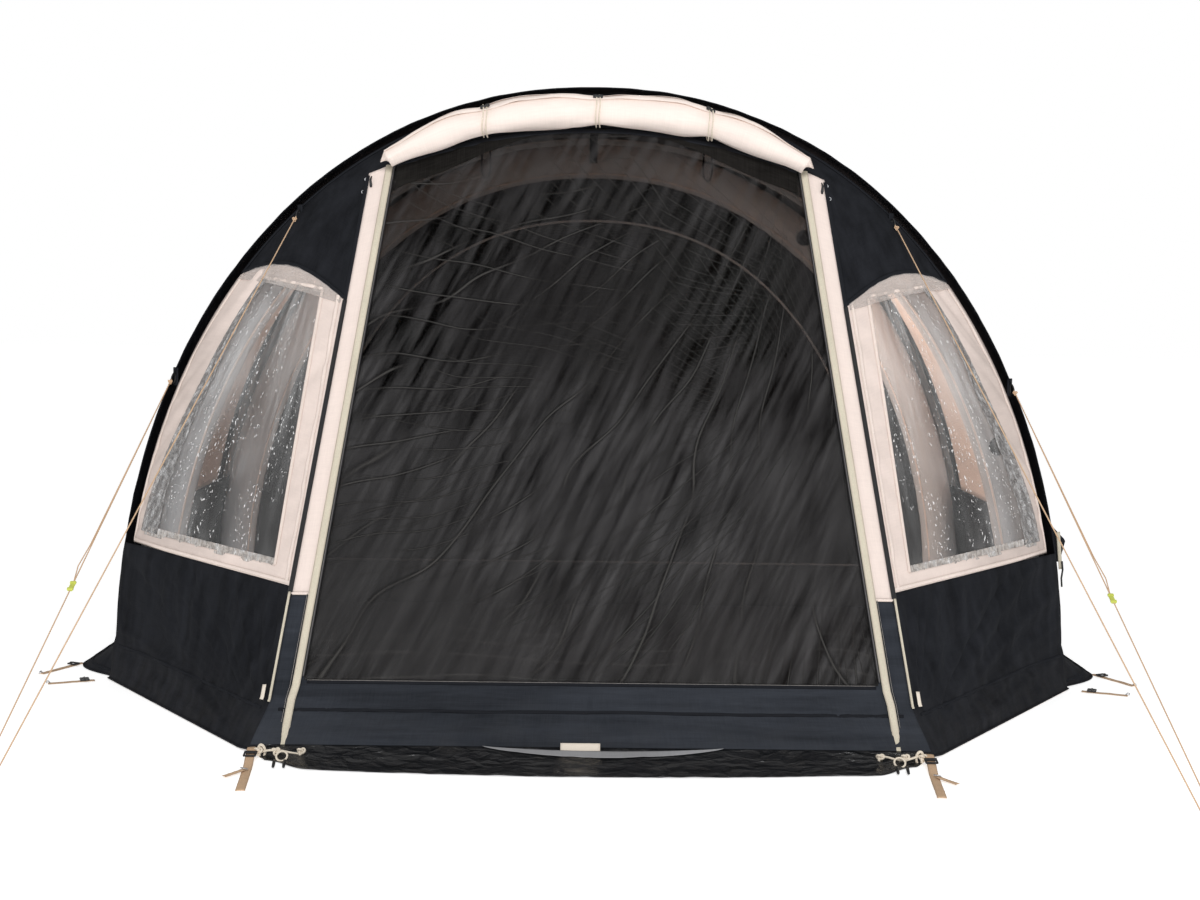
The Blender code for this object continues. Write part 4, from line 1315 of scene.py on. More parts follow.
def roll_skin(u, v):
    """The solid door, rolled up in layers with its hem along the top, and gathered at its three ties."""
    turn = ROLL_HEM_TURN + 0.30 * math.sin(2.6 * u + 0.4) + 2.0 * math.pi * ROLL_TURNS * v
    layer = 0.10 + 0.90 * v
    x = ROLL_HALF_LENGTH * (2.0 * u - 1.0) * (1.012 + 0.020 * math.sin(turn) - 0.022 * layer)
    drawn = ripple(x * 9.0, 2.6 * math.cos(turn), 2.6 * math.sin(turn)) * max(near_ties(x, 0.13))
    swirl = turn + 3.0 * x
    long_fold = ripple(x * 3.0, 1.8 * math.cos(swirl), 1.8 * math.sin(swirl))
    radius = (roll_radius(x) + 0.010 * drawn + 0.007 * long_fold) * layer
    if v > 1.0 - 0.25 / ROLL_TURNS:
        radius += 0.0035 * ripple(x * 16.0, v * 40.0, 4.0)
    return roll_centre(x) + at(0.0, radius * math.cos(turn), radius * math.sin(turn))


def make_roll():
    cloth("door_roll", (150, 15 * ROLL_TURNS), roll_skin, "roll_cream", ["rolled_door"], ["front_hood"],
          "folded", inside=ROLL_INSIDE)
    hem = line_on(roll_skin, [(0.01, 0.985), (0.99, 0.985)], 150, 0.001, inside=ROLL_INSIDE)
    tape("roll_hem", hem, 0.010, 0.0018, "cream_seam")


def make_roll_ties():
    """A cord round the roll at each tie, its toggle on top, and its spare loop hanging behind the mesh."""
    toggle_reaches = (-0.017, -0.0155, -0.006, 0.0, 0.006, 0.0155, 0.017)
    toggle_radii = (0.003, 0.0055, 0.0062, 0.0038, 0.0062, 0.0055, 0.003)
    toggle_leans = (0.35, 0.0, -0.55)
    for number, x in enumerate(ROLL_TIES):
        centre = roll_centre(x)
        radius = roll_radius(x) + 0.006
        for shift, letter in ((-0.006, "a"), (0.006, "b")):
            ring = [centre + at(shift + 0.002 * math.sin(3.0 * turn), radius * math.cos(turn),
                                radius * math.sin(turn)) for turn in turns(40)]
            wire(f"roll_tie_{number}_{letter}", ring, 0.0022, "cord", closed=True)
        top = centre + at(0.0, -radius * 0.55, radius * 0.86)
        along = at(math.cos(toggle_leans[number]), 0.0, math.sin(toggle_leans[number]))
        toggle = [top + along * reach for reach in toggle_reaches]
        rod(f"roll_toggle_{number}", toggle, toggle_radii, 12, "plastic")
        low = door_top(x) - 0.02
        hang_y = slope_y(FRONT_BAY, low) + 0.02
        if x == 0.0:
            line = [(at(x - 0.012, hang_y, low - drop), at(0.0, -1.0, 0.0)) for drop in spread(0.0, 0.10, 8)]
            tape("roll_strap", line, 0.028, 0.002, "brown_webbing")
            continue
        loop = []
        for turn in spread(0.0, math.pi, 24):
            out = 0.022 * math.cos(turn) * (0.6 + 0.4 * math.sin(turn))
            loop.append((x + out, hang_y, low - 0.115 * max(math.sin(turn), 0.0) ** 0.6))
        wire(f"roll_spare_loop_{number}", loop, 0.003, "brown_cord")


# Inside: air tubes, the inner tent's front wall and the floor.

def make_tube(word, arch_y):
    """An air tube in its light sleeve, with the sleeve's seam along its inner side."""
    name = f"{word}_tube_sleeve"
    points = [arch_place(share, arch_y, TUBE_INSET, TUBE_FOOT) for share in shares(140)]
    feet = [at(point.x, arch_y, WALL_FOOT) for point in (points[0], points[-1])]
    points = [feet[0]] + points + [feet[1]]
    mesh = rounded_tube(name, points, [TUBE_RADIUS] * len(points), 24)
    for vert in mesh.vertices:
        vert.co += vert.normal * (0.0025 * noise.noise(vert.co * 9.0) + 0.0012 * noise.noise(vert.co * 30.0))
    add_piece(name, mesh, "sleeve", [f"{word}_air_tube"])
    line = []
    for share in spread(0.02, 0.98, 120):
        centre = arch_place(share, arch_y, TUBE_INSET, TUBE_FOOT)
        inwards = (at(0.0, arch_y, 0.6) - centre).normalized()
        out = (inwards + at(0.0, -0.8, 0.0)).normalized()
        line.append((centre + out * (TUBE_RADIUS + 0.001), out))
    tape(f"{name}_seam", line, 0.010, 0.0022, "cream_seam", slot="grey_sleeve")


def make_valve(name, x, arch_y):
    """A tube's round valve, with its cap, on the side that faces the door."""
    places = [arch_place(share, arch_y, TUBE_INSET, TUBE_FOOT) for share in spread(0.0, 0.5, 400)]
    centre = min(places, key=lambda place: abs(place.x - x))
    reaches = (0.060, 0.079, 0.081, 0.083, 0.085, 0.097, 0.099, 0.100)
    radii = (0.034, 0.034, 0.032, 0.024, 0.021, 0.021, 0.019, 0.014)
    rod(name, [centre + at(0.0, -reach, 0.0) for reach in reaches], radii, 20, "plastic")


def wall_point(x, z):
    """A point on the inner tent's wall, which hangs in soft folds."""
    folds = ripple(x * 5.0, 1.0, z * 0.8) + 0.5 * ripple(x * 13.0, 4.0, z * 1.4)
    return at(x, MIDDLE_ARCH_Y + INNER_WALL_BEHIND - 0.006 * folds * ease(z, 0.0, 0.3), z)


def make_inner_wall():
    """The inner tent's front: its dark wall, the grey tray at its foot, and the zips of its door."""
    def skin(u, v):
        top = arch_place(0.985 - 0.97 * u, 0.0, INNER_WALL_INSET, INNER_WALL_CORNER)
        return wall_point(top.x, WALL_FOOT + (top.z - WALL_FOOT) * v)

    def tray_skin(u, v):
        point = wall_point(INNER_TRAY_HALF * (2.0 * u - 1.0), WALL_FOOT + INNER_TRAY_TOP * v)
        return point - at(0.0, INNER_TRAY_OFF, 0.0)

    cloth("inner_wall", (150, 70), skin, "inner", ["inner_tent_wall"], ["middle_tube_sleeve"], "hung")
    cloth("inner_tray", (120, 8), tray_skin, "tray", [], ["inner_wall"], "hung")
    facing = at(0.0, -1.0, 0.0)
    arch = []
    for angle in spread(0.095, math.pi - 0.095, 120):
        x = INNER_ZIP_HALF * squared_cos(angle, INNER_ZIP_ROUNDNESS)
        z = INNER_ZIP_TOP * math.sin(angle) ** INNER_ZIP_ROUNDNESS
        arch.append((wall_point(x, z) + facing * 0.004, facing))
    tape("inner_zip_arch", arch, 0.011, 0.003, "grey_seam")
    foot = [(wall_point(x, 0.20) + facing * 0.008, facing) for x in spread(-1.25, 1.25, 80)]
    tape("inner_zip_foot", foot, 0.010, 0.003, "grey_seam")


def floor_skin(u, v):
    """The groundsheet, laid flat inside the hems."""
    y = FLOOR_YS[0] + (FLOOR_YS[-1] - FLOOR_YS[0]) * v
    x = stepwise(y, FLOOR_YS, FLOOR_HALVES) * (2.0 * u - 1.0)
    lie = ripple(x * 3.5, y * 3.5, 0.0) + 0.4 * ripple(x * 12.0, y * 12.0, 5.0)
    return at(x, y, 0.0042 + 0.0025 * lie)


# The mud flap.

def mud_flap_skin(u, v):
    """The glossy flap that sags from the front hem out over the ground."""
    x = (FLAP_HALF - 0.052 * (1.0 - v)) * (2.0 * u - 1.0)
    reach = 0.148 + 0.066 * max(math.sin(math.pi * u), 0.0) ** 0.8 + 0.005 * ripple(x * 4.0, 0.0, 2.0)
    y = FLAP_NEAR_Y - reach * (0.5 + 0.5 * in_from(u, 0.07)) * (1.0 - v)
    crease = ripple(x * 9.0, v * 1.6, 7.0) + 0.6 * ripple(x * 25.0, v * 3.0, 1.0)
    height = 0.004 + (HEM_LIFT + 0.002) * v ** 2.2
    return at(x, y, height + 0.007 * max(crease, -0.25) * math.sin(math.pi * min(v + 0.12, 1.0)))


def hem_gap_shade_skin(u, v):
    """A pale grey crescent on the flap just under the sill's hem: painted shade of the ground seen through
    the gap there.
    """
    x = 0.035 + 0.36 * (2.0 * u - 1.0)
    depth = 0.02 + (0.11 + 0.18 * (1.0 - v)) * max(math.sin(math.pi * u), 0.0) ** 0.7
    return mud_flap_skin((x / FLAP_HALF + 1.0) / 2.0, 1.0 - depth) + at(0.0, -0.003, 0.004)


def make_mud_flap():
    lying = {"held": "draped", "thickness": FILM, "inside": at(0.0, -1.0, FAR_BELOW)}
    cloth("mud_flap_sheet", (260, 14), mud_flap_skin, "mud_film", ["front_mud_flap"], ["sill"], **lying)
    # A sheet of painted shade for the gap under the sill's hem.
    cloth("mud_flap_gap_shade", (90, 6), hem_gap_shade_skin, "hem_gap_shade", [], ["mud_flap_sheet"], **lying)


# Trims of the front bay and the tunnel.

def slope_line(side, stops, steps, lift):
    """A line down the front bay's slope, through (distance in from the corner seam, height) stops."""
    pairs = [(side * slope_line_x(offset, z), z) for offset, z in stops]
    return line_on(lambda x, z: slope_place(FRONT_BAY, x, z), pairs, steps, lift, (-2.0, 2.2))


def corner_line(bay, side, heights, steps, lift):
    """A line down a bay's corner seam, facing between its two panels."""
    out = at(side * 0.33, bay[3] * 0.87, 0.36).normalized()
    levels = [z for low, high in zip(heights, heights[1:]) for z in spread(low, high, steps)[:-1]]
    return [(slope_place(bay, side * slope_line_x(0.0, z), z) + out * lift, out)
            for z in levels + [heights[-1]]]


def hem_wire(name, skin, v, steps, lift, radius=HEM_RADIUS):
    """A welt along the edge of a skin at v, lifted off the ground."""
    wire(name, [skin(u, v) + UP * lift for u in shares(steps)], radius, "dark")


def make_front_trims(side):
    """Zips, flaps, seams and tags on one side of the front bay."""
    word = WORDS[side]
    panel_top_z = SIDE_PANEL_TOP * SEAM_TOP_Z
    for name, heights, steps, lift, width, rise, finish in (
            ("corner_zip", (panel_top_z, STRIP_BOTTOM - 0.01), 80, 0.002, 0.017, 0.003, "zip"),
            ("hood_corner_seam", (SEAM_TOP_Z - 0.01, panel_top_z), 30, 0.002, 0.014, 0.003, "dark_seam"),
            ("lower_zip_flap", (STRIP_BOTTOM + 0.004, FOLD_Z, 0.143), 30, 0.004, 0.009, 0.005, "khaki")):
        tape(f"{name}_{word}", corner_line(FRONT_BAY, side, heights, steps, lift), width, rise, finish)
    flap = [(0.070, door_top(SEAM_TOP_X - 0.07) - 0.005), (0.070, 0.19), (0.064, FOLD_Z), (0.092, 0.010)]
    coil = [(0.0865, door_top(SEAM_TOP_X - 0.087) - 0.01), (0.0865, SILL_TOP + 0.008)]
    stitch = [(0.054, STRIP_BOTTOM), (0.052, 0.19), (0.047, FOLD_Z), (0.075, 0.012)]
    strip_foot = [(0.004, STRIP_BOTTOM), (0.060, STRIP_BOTTOM)]
    for name, stops, steps, lift, width, rise, finish in (
            ("door_zip_flap", flap, 60, 0.006, 0.024, 0.005, "khaki"),
            ("door_zip", coil, 160, 0.004, 0.010, 0.003, "light_zip"),
            ("strip_stitch", stitch, 40, 0.004, 0.0035, 0.002, "thread"),
            ("strip_foot", strip_foot, 6, 0.003, 0.010, 0.003, "cream_seam")):
        tape(f"{name}_{word}", slope_line(side, stops, steps, lift), width, rise, finish)

    panel = side_panel_skin(FRONT_BAY, side)
    seam(f"panel_side_seam_{word}", panel, (0.055, 0.01), (0.055, 0.97), 90, 0.001, "side")
    for name, (start, end) in PANEL_SEAMS.items():
        seam(f"panel_{name}_seam_{word}", panel, start, end, 90, 0.001, "edge")
    frame = line_on(panel, [(0.188, 0.10), (0.188, 0.862), (0.80, 0.862)], 60, 0.001)
    tape(f"window_binding_{word}", frame, 0.014, 0.0025, "cream_seam")

    base = side_base_skin(FRONT_BAY, side)
    seam(f"side_fold_{word}", base, (0.03, 0.24), (0.97, 0.24), 80, 0.0005, "fold")
    hem_wire(f"side_hem_{word}", base, 0.0, 90, 0.003)
    out = at(side * 0.6, -0.75, 0.25)
    tag = [(facet_place(FRONT_BAY, side, 0.03, share) + out * 0.012, out)
           for share in spread(0.080, 0.103, 6)]
    tape(f"side_tag_{word}", tag, 0.016, 0.002, "tag")
    make_eyelets_and_pull(side)


def make_eyelets_and_pull(side):
    """The two eyelets beside the door's top corner, and the pull of the zip there."""
    word = WORDS[side]
    level = at(side * 0.005, side * 0.003, 0.0)
    for number, share in enumerate((0.985, 0.985 * 1.755 / 1.80)):
        point = facet_place(FRONT_BAY, side, 0.05, share) + facet_out(side) * 0.004
        ring = [point + level * math.cos(turn) + UP * (0.005 * math.sin(turn)) for turn in turns(16)]
        wire(f"eyelet_{word}_{number}", ring, 0.0016, "steel", closed=True)
    top = slope_place(FRONT_BAY, side * (SEAM_TOP_X - 0.012), 1.775) + at(0.0, -0.016, 0.0)
    pull = [top + at(side * x, y, z) for x, y, z in
            ((0.0, 0.0, 0.0), (0.004, -0.003, -0.012), (0.002, -0.006, -0.030), (0.002, -0.006, -0.038))]
    rod(f"zip_pull_{word}", pull, (0.002, 0.0035, 0.005, 0.003), 10, "plastic")


def make_sill_trims():
    """The sill's seams, hem and tag, the binding over the mesh door, and the mesh gathered under it."""
    sill = sill_skin()
    seam("sill_fold", sill, (0.02, 0.28), (0.98, 0.28), 120, 0.0005, "fold")
    seam("sill_top", sill, (0.055, 0.487), (0.945, 0.487), 120, 0.001, "sill")
    seam("mesh_foot_stitch", sill, (0.056, 0.4965), (0.944, 0.4965), 120, 0.002, "stitch")
    hem_wire("sill_hem", sill, 0.0, 140, 0.0, 0.0035)
    out = SLOPE_OUT
    tag = [(slope_place(FRONT_BAY, x, 0.022) + out * 0.024, out) for x in spread(-0.092, 0.026, 12)]
    tape("hem_tag", tag, 0.030, 0.002, "tag")
    half = 0.684
    rim = [(slope_place(FRONT_BAY, x, door_top(x) - 0.012) + out * 0.004, out)
           for x in spread(-half, half, 90)]
    tape("mesh_top_binding", rim, 0.020, 0.003, "dark_seam")

    def gathered(u, v):
        x = half * (2.0 * u - 1.0)
        depth = 0.012 + 0.075 * ease(abs(x), 0.15, 0.60)
        z = door_top(x) - 0.005 - depth * v
        ruck = ripple(x * 7.0 + z * 20.0, z * 55.0, 3.0)
        return slope_place(FRONT_BAY, x, z) + out * (0.006 + 0.004 * ruck * math.sin(math.pi * v))

    cloth("gathered_mesh", (160, 14), gathered, "gathered", [], ["mosquito_door"], "gathered", FILM)


def make_hood_seams(name, bay):
    """The seams along a hood's arch and at its two feet."""
    hood = hood_skin(bay)
    seam(f"{name}_arch_seam", hood, (0.004, 0.985), (0.996, 0.985), 150, 0.001, "arch")
    for u, word in ((0.003, "left"), (0.997, "right")):
        seam(f"{name}_foot_{word}", hood, (u, 0.01), (u, 0.99), 40, 0.002, "hood")


def make_tunnel_seams():
    """Seams over the roof, at the arch sleeves' edges and down both sides."""
    for number, y_from in enumerate((FRONT_ARCH_Y, REAR_SLEEVE_Y)):
        skin = arch_skin(y_from)
        for v in (0.05, 0.95):
            name = f"sleeve_seam_{number}_{round(v * 100)}"
            seam(name, skin, (0.004, v), (0.996, v), 220, 0.0005, "sleeve")
    for word, span, joins in (("living", LIVING_SPAN, (0.5,)), ("bedroom", BEDROOM_SPAN, (0.33, 0.67))):
        skin = canopy_skin(span)
        lines = [(f"{word}_roof_seam_{number}", v, "join") for number, v in enumerate(joins)]
        lines += [(f"{word}_roof_edge_{round(v * 1000)}", v, "edge") for v in (0.012, 0.988)]
        for name, v, kind in lines:
            seam(name, skin, (0.004, v), (0.996, v), 180, 0.0005, kind)
        for u in (0.006, 0.994):
            seam(f"{word}_roof_foot_{round(u * 1000)}", skin, (u, 0.01), (u, 0.99), 50, 0.001, "roof")
    for side, word in WORDS.items():
        wall = side_wall_skin(side)
        seam(f"wall_seam_{word}", wall, (0.01, 0.26), (0.99, 0.26), 120, 0.003, "wall")
        for number, y in enumerate((MIDDLE_ARCH_Y, 2.5)):
            u = (y - SLEEVE_WIDTH) / (REAR_SLEEVE_Y - SLEEVE_WIDTH)
            seam(f"wall_join_{word}_{number}", wall, (u, 0.26), (u, 0.98), 24, 0.001, "wall")
        skirt = skirt_skin(side)
        hem_wire(f"skirt_hem_{word}", skirt, 1.0, 200, 0.0015)
        seam(f"skirt_seam_{word}", skirt, (0.005, 0.86), (0.995, 0.86), 200, 0.001, "fold")


def tunnel_side_point(side, y, z):
    """A point on the tunnel's side at a height, on the roof above the base panel and on that below."""
    if z >= BASE_TOP:
        start = arch_angle(BASE_TOP)
        share = (arch_angle(z) - start) / (math.pi - 2.0 * start)
        low, high = LIVING_SPAN
        return canopy_skin(LIVING_SPAN)(share if side > 0 else 1.0 - share, (y - low) / (high - low))
    return side_wall_skin(side)((y - SLEEVE_WIDTH) / (REAR_SLEEVE_Y - SLEEVE_WIDTH), z / BASE_TOP)


def make_side_door(side):
    """The zip round the side door, with its flap, between the front and middle arches."""
    line = []
    flap = []
    for turn in spread(0.0, math.pi, 130):
        y = SIDE_DOOR_Y - SIDE_DOOR_HALF * squared_cos(turn, SIDE_DOOR_ROUNDNESS)
        z = SIDE_DOOR_FOOT + SIDE_DOOR_HEIGHT * max(math.sin(turn), 0.0) ** SIDE_DOOR_ROUNDNESS
        point = tunnel_side_point(side, y, z)
        out = at(point.x, 0.0, point.z * 0.75).normalized()
        outside = at(0.0, 0.012 if y > SIDE_DOOR_Y else -0.012, 0.006)
        line.append((point + out * 0.003, out))
        flap.append((point + out * 0.006 + outside, out))
    tape(f"side_door_zip_{WORDS[side]}", line, 0.020, 0.003, "zip")
    tape(f"side_door_flap_{WORDS[side]}", flap, 0.024, 0.004, "cream_seam")


def make_rear_trims():
    """The rear bay's seams and hems."""
    for side, word in WORDS.items():
        corner = corner_line(REAR_BAY, side, (SEAM_TOP_Z - 0.01, STRIP_BOTTOM), 60, 0.002)
        tape(f"rear_corner_seam_{word}", corner, 0.016, 0.003, "cream_seam")
        foot = corner_line(REAR_BAY, side, (STRIP_BOTTOM, FOLD_Z, 0.012), 20, 0.003)
        tape(f"rear_corner_foot_{word}", foot, 0.016, 0.003, "dark_seam")
        base = side_base_skin(REAR_BAY, side)
        seam(f"rear_side_fold_{word}", base, (0.03, 0.3), (0.97, 0.3), 60, 0.0005, "fold")
        hem_wire(f"rear_side_hem_{word}", base, 0.0, 70, 0.003)
        panel = side_panel_skin(REAR_BAY, side)
        for name, (start, end) in PANEL_SEAMS.items():
            seam(f"rear_panel_{name}_{word}", panel, start, end, 60, 0.001, "edge")
    wall = rear_wall_skin(STRIP_BOTTOM)
    seam("rear_wall_foot", wall, (0.01, 0.012), (0.99, 0.012), 100, 0.001, "foot")
    for number, u in enumerate((0.33, 0.67)):
        seam(f"rear_wall_join_{number}", wall, (u, 0.01), (u, 0.99), 90, 0.0008, "join")
    base = rear_wall_skin(0.0, STRIP_BOTTOM)
    fold = FOLD_Z / STRIP_BOTTOM
    seam("rear_base_fold", base, (0.02, fold), (0.98, fold), 100, 0.002, "fold")
    hem_wire("rear_base_hem", base, 0.0, 120, 0.001, 0.0035)


# Guying: ropes, sliders, loops, straps, buckles and cords.

def moulded(name, bars, along, up, place, bevel, finish):
    """A moulded fitting: rounded bars, each given by its centre and size, laid along and facing up."""
    across = along.cross(up).normalized()
    turn = Matrix((across, along, across.cross(along))).transposed().to_4x4()
    bm = bmesh.new()
    for centre, size in bars:
        where = Matrix.Translation(place) @ turn @ Matrix.Translation(centre)
        bmesh.ops.create_cube(bm, size=1.0, matrix=where @ Matrix.Diagonal((*size, 1.0)))
    bmesh.ops.bevel(bm, geom=list(bm.edges), offset=bevel, offset_type="OFFSET", segments=2, profile=0.5,
                    affect="EDGES", material=-1, clamp_overlap=True)
    add_piece(name, finished_mesh(name, bm, smooth=False), finish)


def make_buckle(name, place, along, up, width):
    """A ladder buckle: two rails and three bars, lying along the strap."""
    half = width / 2.0 + 0.003
    bars = [((shift, 0.0, 0.0), (0.005, 0.030, 0.006)) for shift in (-half, half)]
    bars += [((0.0, shift, lift), (width + 0.008, 0.006, 0.005)) for shift, lift in
             ((-0.013, 0.0), (0.0, 0.003), (0.013, 0.0))]
    moulded(name, bars, Vector(along).normalized(), Vector(up).normalized(), place, 0.0016, "plastic")


def make_knot(name, place, size, radius, finish):
    """A small overhand knot: cord round a three-lobed loop."""
    points = []
    for turn in turns(36):
        lobe = at(math.sin(turn) + 2.0 * math.sin(2.0 * turn), -math.sin(3.0 * turn),
                  math.cos(turn) - 2.0 * math.cos(2.0 * turn))
        points.append(Vector(place) + lobe * (size / 6.0))
    wire(name, points, radius, finish, closed=True)


def make_ring(name, place, facing, radius, thickness, finish):
    turn = Vector(facing).to_track_quat("Z", "Y").to_matrix()
    points = [Vector(place) + turn @ at(radius * math.cos(angle), radius * math.sin(angle), 0.0)
              for angle in turns(28)]
    wire(name, points, thickness, finish, closed=True)


def make_guy_rope(place_word, bay, side):
    """One rope from the upper loop, round the peg and back up to the lower loop, with its slider."""
    word = WORDS[side]
    arch_y, _, _, direction = bay
    name = f"{place_word}_rope_{word}"
    peg = at(side * PEG_X, arch_y + direction * PEG_REACH, ROPE_END_HEIGHT)
    high, low = [at(side * x, arch_y + direction * y, z) for x, y, z in (ROPE_HIGH, ROPE_LOW)]
    inner, outer = [peg + at(shift, 0.0, 0.0) for shift in (-side * ROPE_TURN, side * ROPE_TURN)]
    bend = [peg + at(-side * ROPE_TURN * math.cos(turn), direction * ROPE_TURN * math.sin(turn), 0.0)
            for turn in spread(0.0, math.pi, 8)]
    down = [high.lerp(inner, share) for share in shares(24)]
    up = [outer.lerp(low, share) for share in shares(24)]
    wire(name, down + bend + up, ROPE_RADIUS, "rope", [f"{place_word}_guy_rope_{word}"])

    low_leg = low - outer
    along = low_leg.normalized()
    slider = outer + low_leg * 0.47
    upward = at(0.0, direction, 1.0).normalized()
    across = along.cross(upward).normalized()
    bars = [((0.0, 0.0, 0.0), (0.014, 0.042, 0.007)), ((0.0, 0.015, 0.002), (0.018, 0.010, 0.008)),
            ((0.0, -0.015, 0.002), (0.018, 0.010, 0.008))]
    moulded(f"{name}_slider", bars, along, upward, slider, 0.0025, "slider")
    spare = [slider + along * 0.018, slider + along * 0.10 + across * side * 0.010,
             slider + along * 0.21 + across * side * 0.004, low - along * 0.03]
    wire(f"{name}_spare", spare, ROPE_RADIUS * 0.9, "rope")

    inward = at(-side * 0.35, -direction * 0.9, 0.25).normalized()
    facing = at(side * 0.55, direction * 0.75, 0.35).normalized()
    for number, (end, away) in enumerate(((high, (high - inner).normalized()), (low, along))):
        loop = [end + inward * (0.012 - 0.012 * math.cos(turn)) + UP * (0.016 * math.sin(turn)
                * (1.0 - 0.4 * math.cos(turn))) for turn in turns(22)]
        wire(f"{name}_anchor_{number}", loop, 0.0026, "plastic", closed=True, slot="dark_cotton")
        make_knot(f"{name}_knot_{number}", end - away * 0.018, 0.015, ROPE_RADIUS, "rope")
        line = [(end + inward * 0.028 + UP * rise, facing) for rise in spread(-0.030, 0.034, 6)]
        tape(f"{name}_patch_{number}", line, 0.026, 0.003, "dark_seam")


def ground_strap(name, start, end, width, nodes=()):
    """Webbing laid along the ground, not quite flat."""
    line = []
    for share in shares(24):
        rise = 0.0015 + 0.002 * abs(ripple(share * 4.0, start.x, start.y))
        line.append((start.lerp(end, share) + UP * rise, UP))
    tape(name, line, width, STRAP_RISE, "webbing", nodes, thickness=CLOTH)


def make_side_straps(place_word, bay, side):
    """The two short straps that hold the side hem, each with its buckle and hook."""
    arch_y, _, _, direction = bay
    for kind, ends in SIDE_STRAPS.items():
        start, end = [at(side * x, arch_y - direction * y, 0.0) for x, y in ends]
        node = f"{place_word}_{kind}_strap_{WORDS[side]}"
        along = end - start
        ground_strap(f"{node}_webbing", start, end, SIDE_STRAP_WIDTH, [node])
        make_buckle(f"{node}_buckle", start + along * 0.22 + UP * 0.009, along, UP, SIDE_STRAP_WIDTH)
        hook = [start + along * share + UP * rise for share, rise in
                ((0.96, 0.004), (1.0, 0.012), (1.03, 0.010), (1.03, 0.004))]
        wire(f"{node}_hook", hook, 0.0025, "steel")


def make_corner_strap(place_word, bay, side):
    """The corner's pull strap with its buckle, its loop, and its short tail with a ring."""
    arch_y, _, hem_run, direction = bay
    hem_y = arch_y + direction * hem_run
    node = f"{place_word}_corner_strap_{WORDS[side]}"
    top = at(side * 1.000, hem_y + direction * 0.030, 0.030)
    flat = at(side * 0.985, hem_y + direction * 0.175, 0.004)
    end = at(side * 0.962, hem_y + direction * 0.375, 0.0)
    facing = at(0.0, direction * 0.2, 1.0).normalized()
    line = []
    for share in shares(14):
        point = top.lerp(flat, share)
        line.append((at(point.x, point.y, top.z + (flat.z - top.z) * ease(share, 0.0, 1.0)), facing))
    for share in shares(18)[1:]:
        point = flat.lerp(end, share)
        line.append((at(point.x, point.y, 0.003 + 0.004 * abs(ripple(share * 5.0, side, 2.0))), UP))
    tape(f"{node}_webbing", line, CORNER_STRAP_WIDTH, STRAP_RISE, "webbing", [node], thickness=CLOTH)
    make_buckle(f"{node}_buckle", top.lerp(flat, 0.38) + UP * 0.006, (0.0, direction, -0.2),
                (0.0, direction * 0.3, 1.0), CORNER_STRAP_WIDTH)
    loop = [top + at(-side * (0.030 + 0.010 * math.cos(turn)), direction * (0.010 + 0.006 * math.sin(turn)),
                     -0.008 + 0.020 * math.sin(turn)) for turn in turns(26)]
    wire(f"{node}_loop", loop, 0.0042, "cord", closed=True)
    tail = flat + at(side * 0.004, direction * 0.02, 0.004)
    ground_strap(f"{node}_tail", tail, flat + at(side * 0.050, direction * 0.075, 0.0), TAIL_WIDTH)
    make_ring(f"{node}_tail_ring", tail + UP * 0.006, (0.2, 0.3, 1.0), 0.010, 0.0018, "steel")


def make_corner_cord(side):
    """The knotted cord, the ring and the two toggles at a front corner's hem."""
    node = f"front_corner_strap_{WORDS[side]}"
    hem_y = FRONT_BAY[0] - FRONT_BAY[2]
    radius = CORNER_CORD_RADIUS
    cord = []
    for share in shares(24):
        x = side * (CORNER_CORD_FROM - CORNER_CORD_REACH * share)
        sway = 0.006 * math.sin(7.0 * share + side)
        cord.append((x, hem_y - 0.045 + 0.006 * math.cos(9.0 * share), 0.022 + sway))
    wire(f"{node}_cord", cord, radius, "cord")
    for number, share in enumerate((0.05, 0.42, 0.95)):
        x = side * (CORNER_CORD_FROM - CORNER_CORD_REACH * share)
        make_knot(f"{node}_cord_knot_{number}", (x, hem_y - 0.048, 0.024), 0.023, radius, "cord")
    make_ring(f"{node}_ring", (side * 0.905, hem_y - 0.072, 0.016), (0.0, -0.7, 0.7), 0.016, 0.0030, "cord")
    for number, x in enumerate((0.920, 0.890)):
        high = at(side * x, hem_y - 0.105, 0.014)
        low = at(side * (x - 0.006), hem_y - 0.160, 0.008)
        points = [high.lerp(low, share) for share in (0.0, 0.08, 0.5, 0.92, 1.0)]
        rod(f"{node}_toggle_{number}", points, (0.002, 0.0042, 0.0050, 0.0042, 0.002), 12, "plastic")


def make_vent_flap():
    """The small dark flap and its zip that stand out from the wall behind the front arch on the right."""
    def skin(u, v):
        z = VENT_TOP - VENT_HEIGHT * v
        outer = stepwise(v, (0.0, 0.62, 1.0), (arch_x(VENT_TOP, 0.0) + 0.008, 1.776, 1.756))
        inner = arch_x(z, 0.0) - 0.004
        return at(inner + (outer - inner) * u, 0.245 + 0.012 * math.sin(math.pi * v) + 0.020 * u * v, z)

    cloth("vent_flap", (14, 22), skin, "dark", [], ["side_wall_right"], "hung", inside=at(1.4, 1.0, 0.5))
    facing = at(0.3, -0.95, 0.0)
    line = [(at(1.738 + 0.014 * share, 0.240, 0.536 - 0.140 * share), facing) for share in shares(12)]
    tape("vent_zip_flap", line, 0.016, 0.003, "khaki")
    pull = ((1.756, 0.236, 0.426), (1.759, 0.234, 0.394), (1.755, 0.234, 0.362), (1.758, 0.234, 0.330))
    wire("vent_pull", pull, 0.0035, "plastic")


# Light, floor and camera.

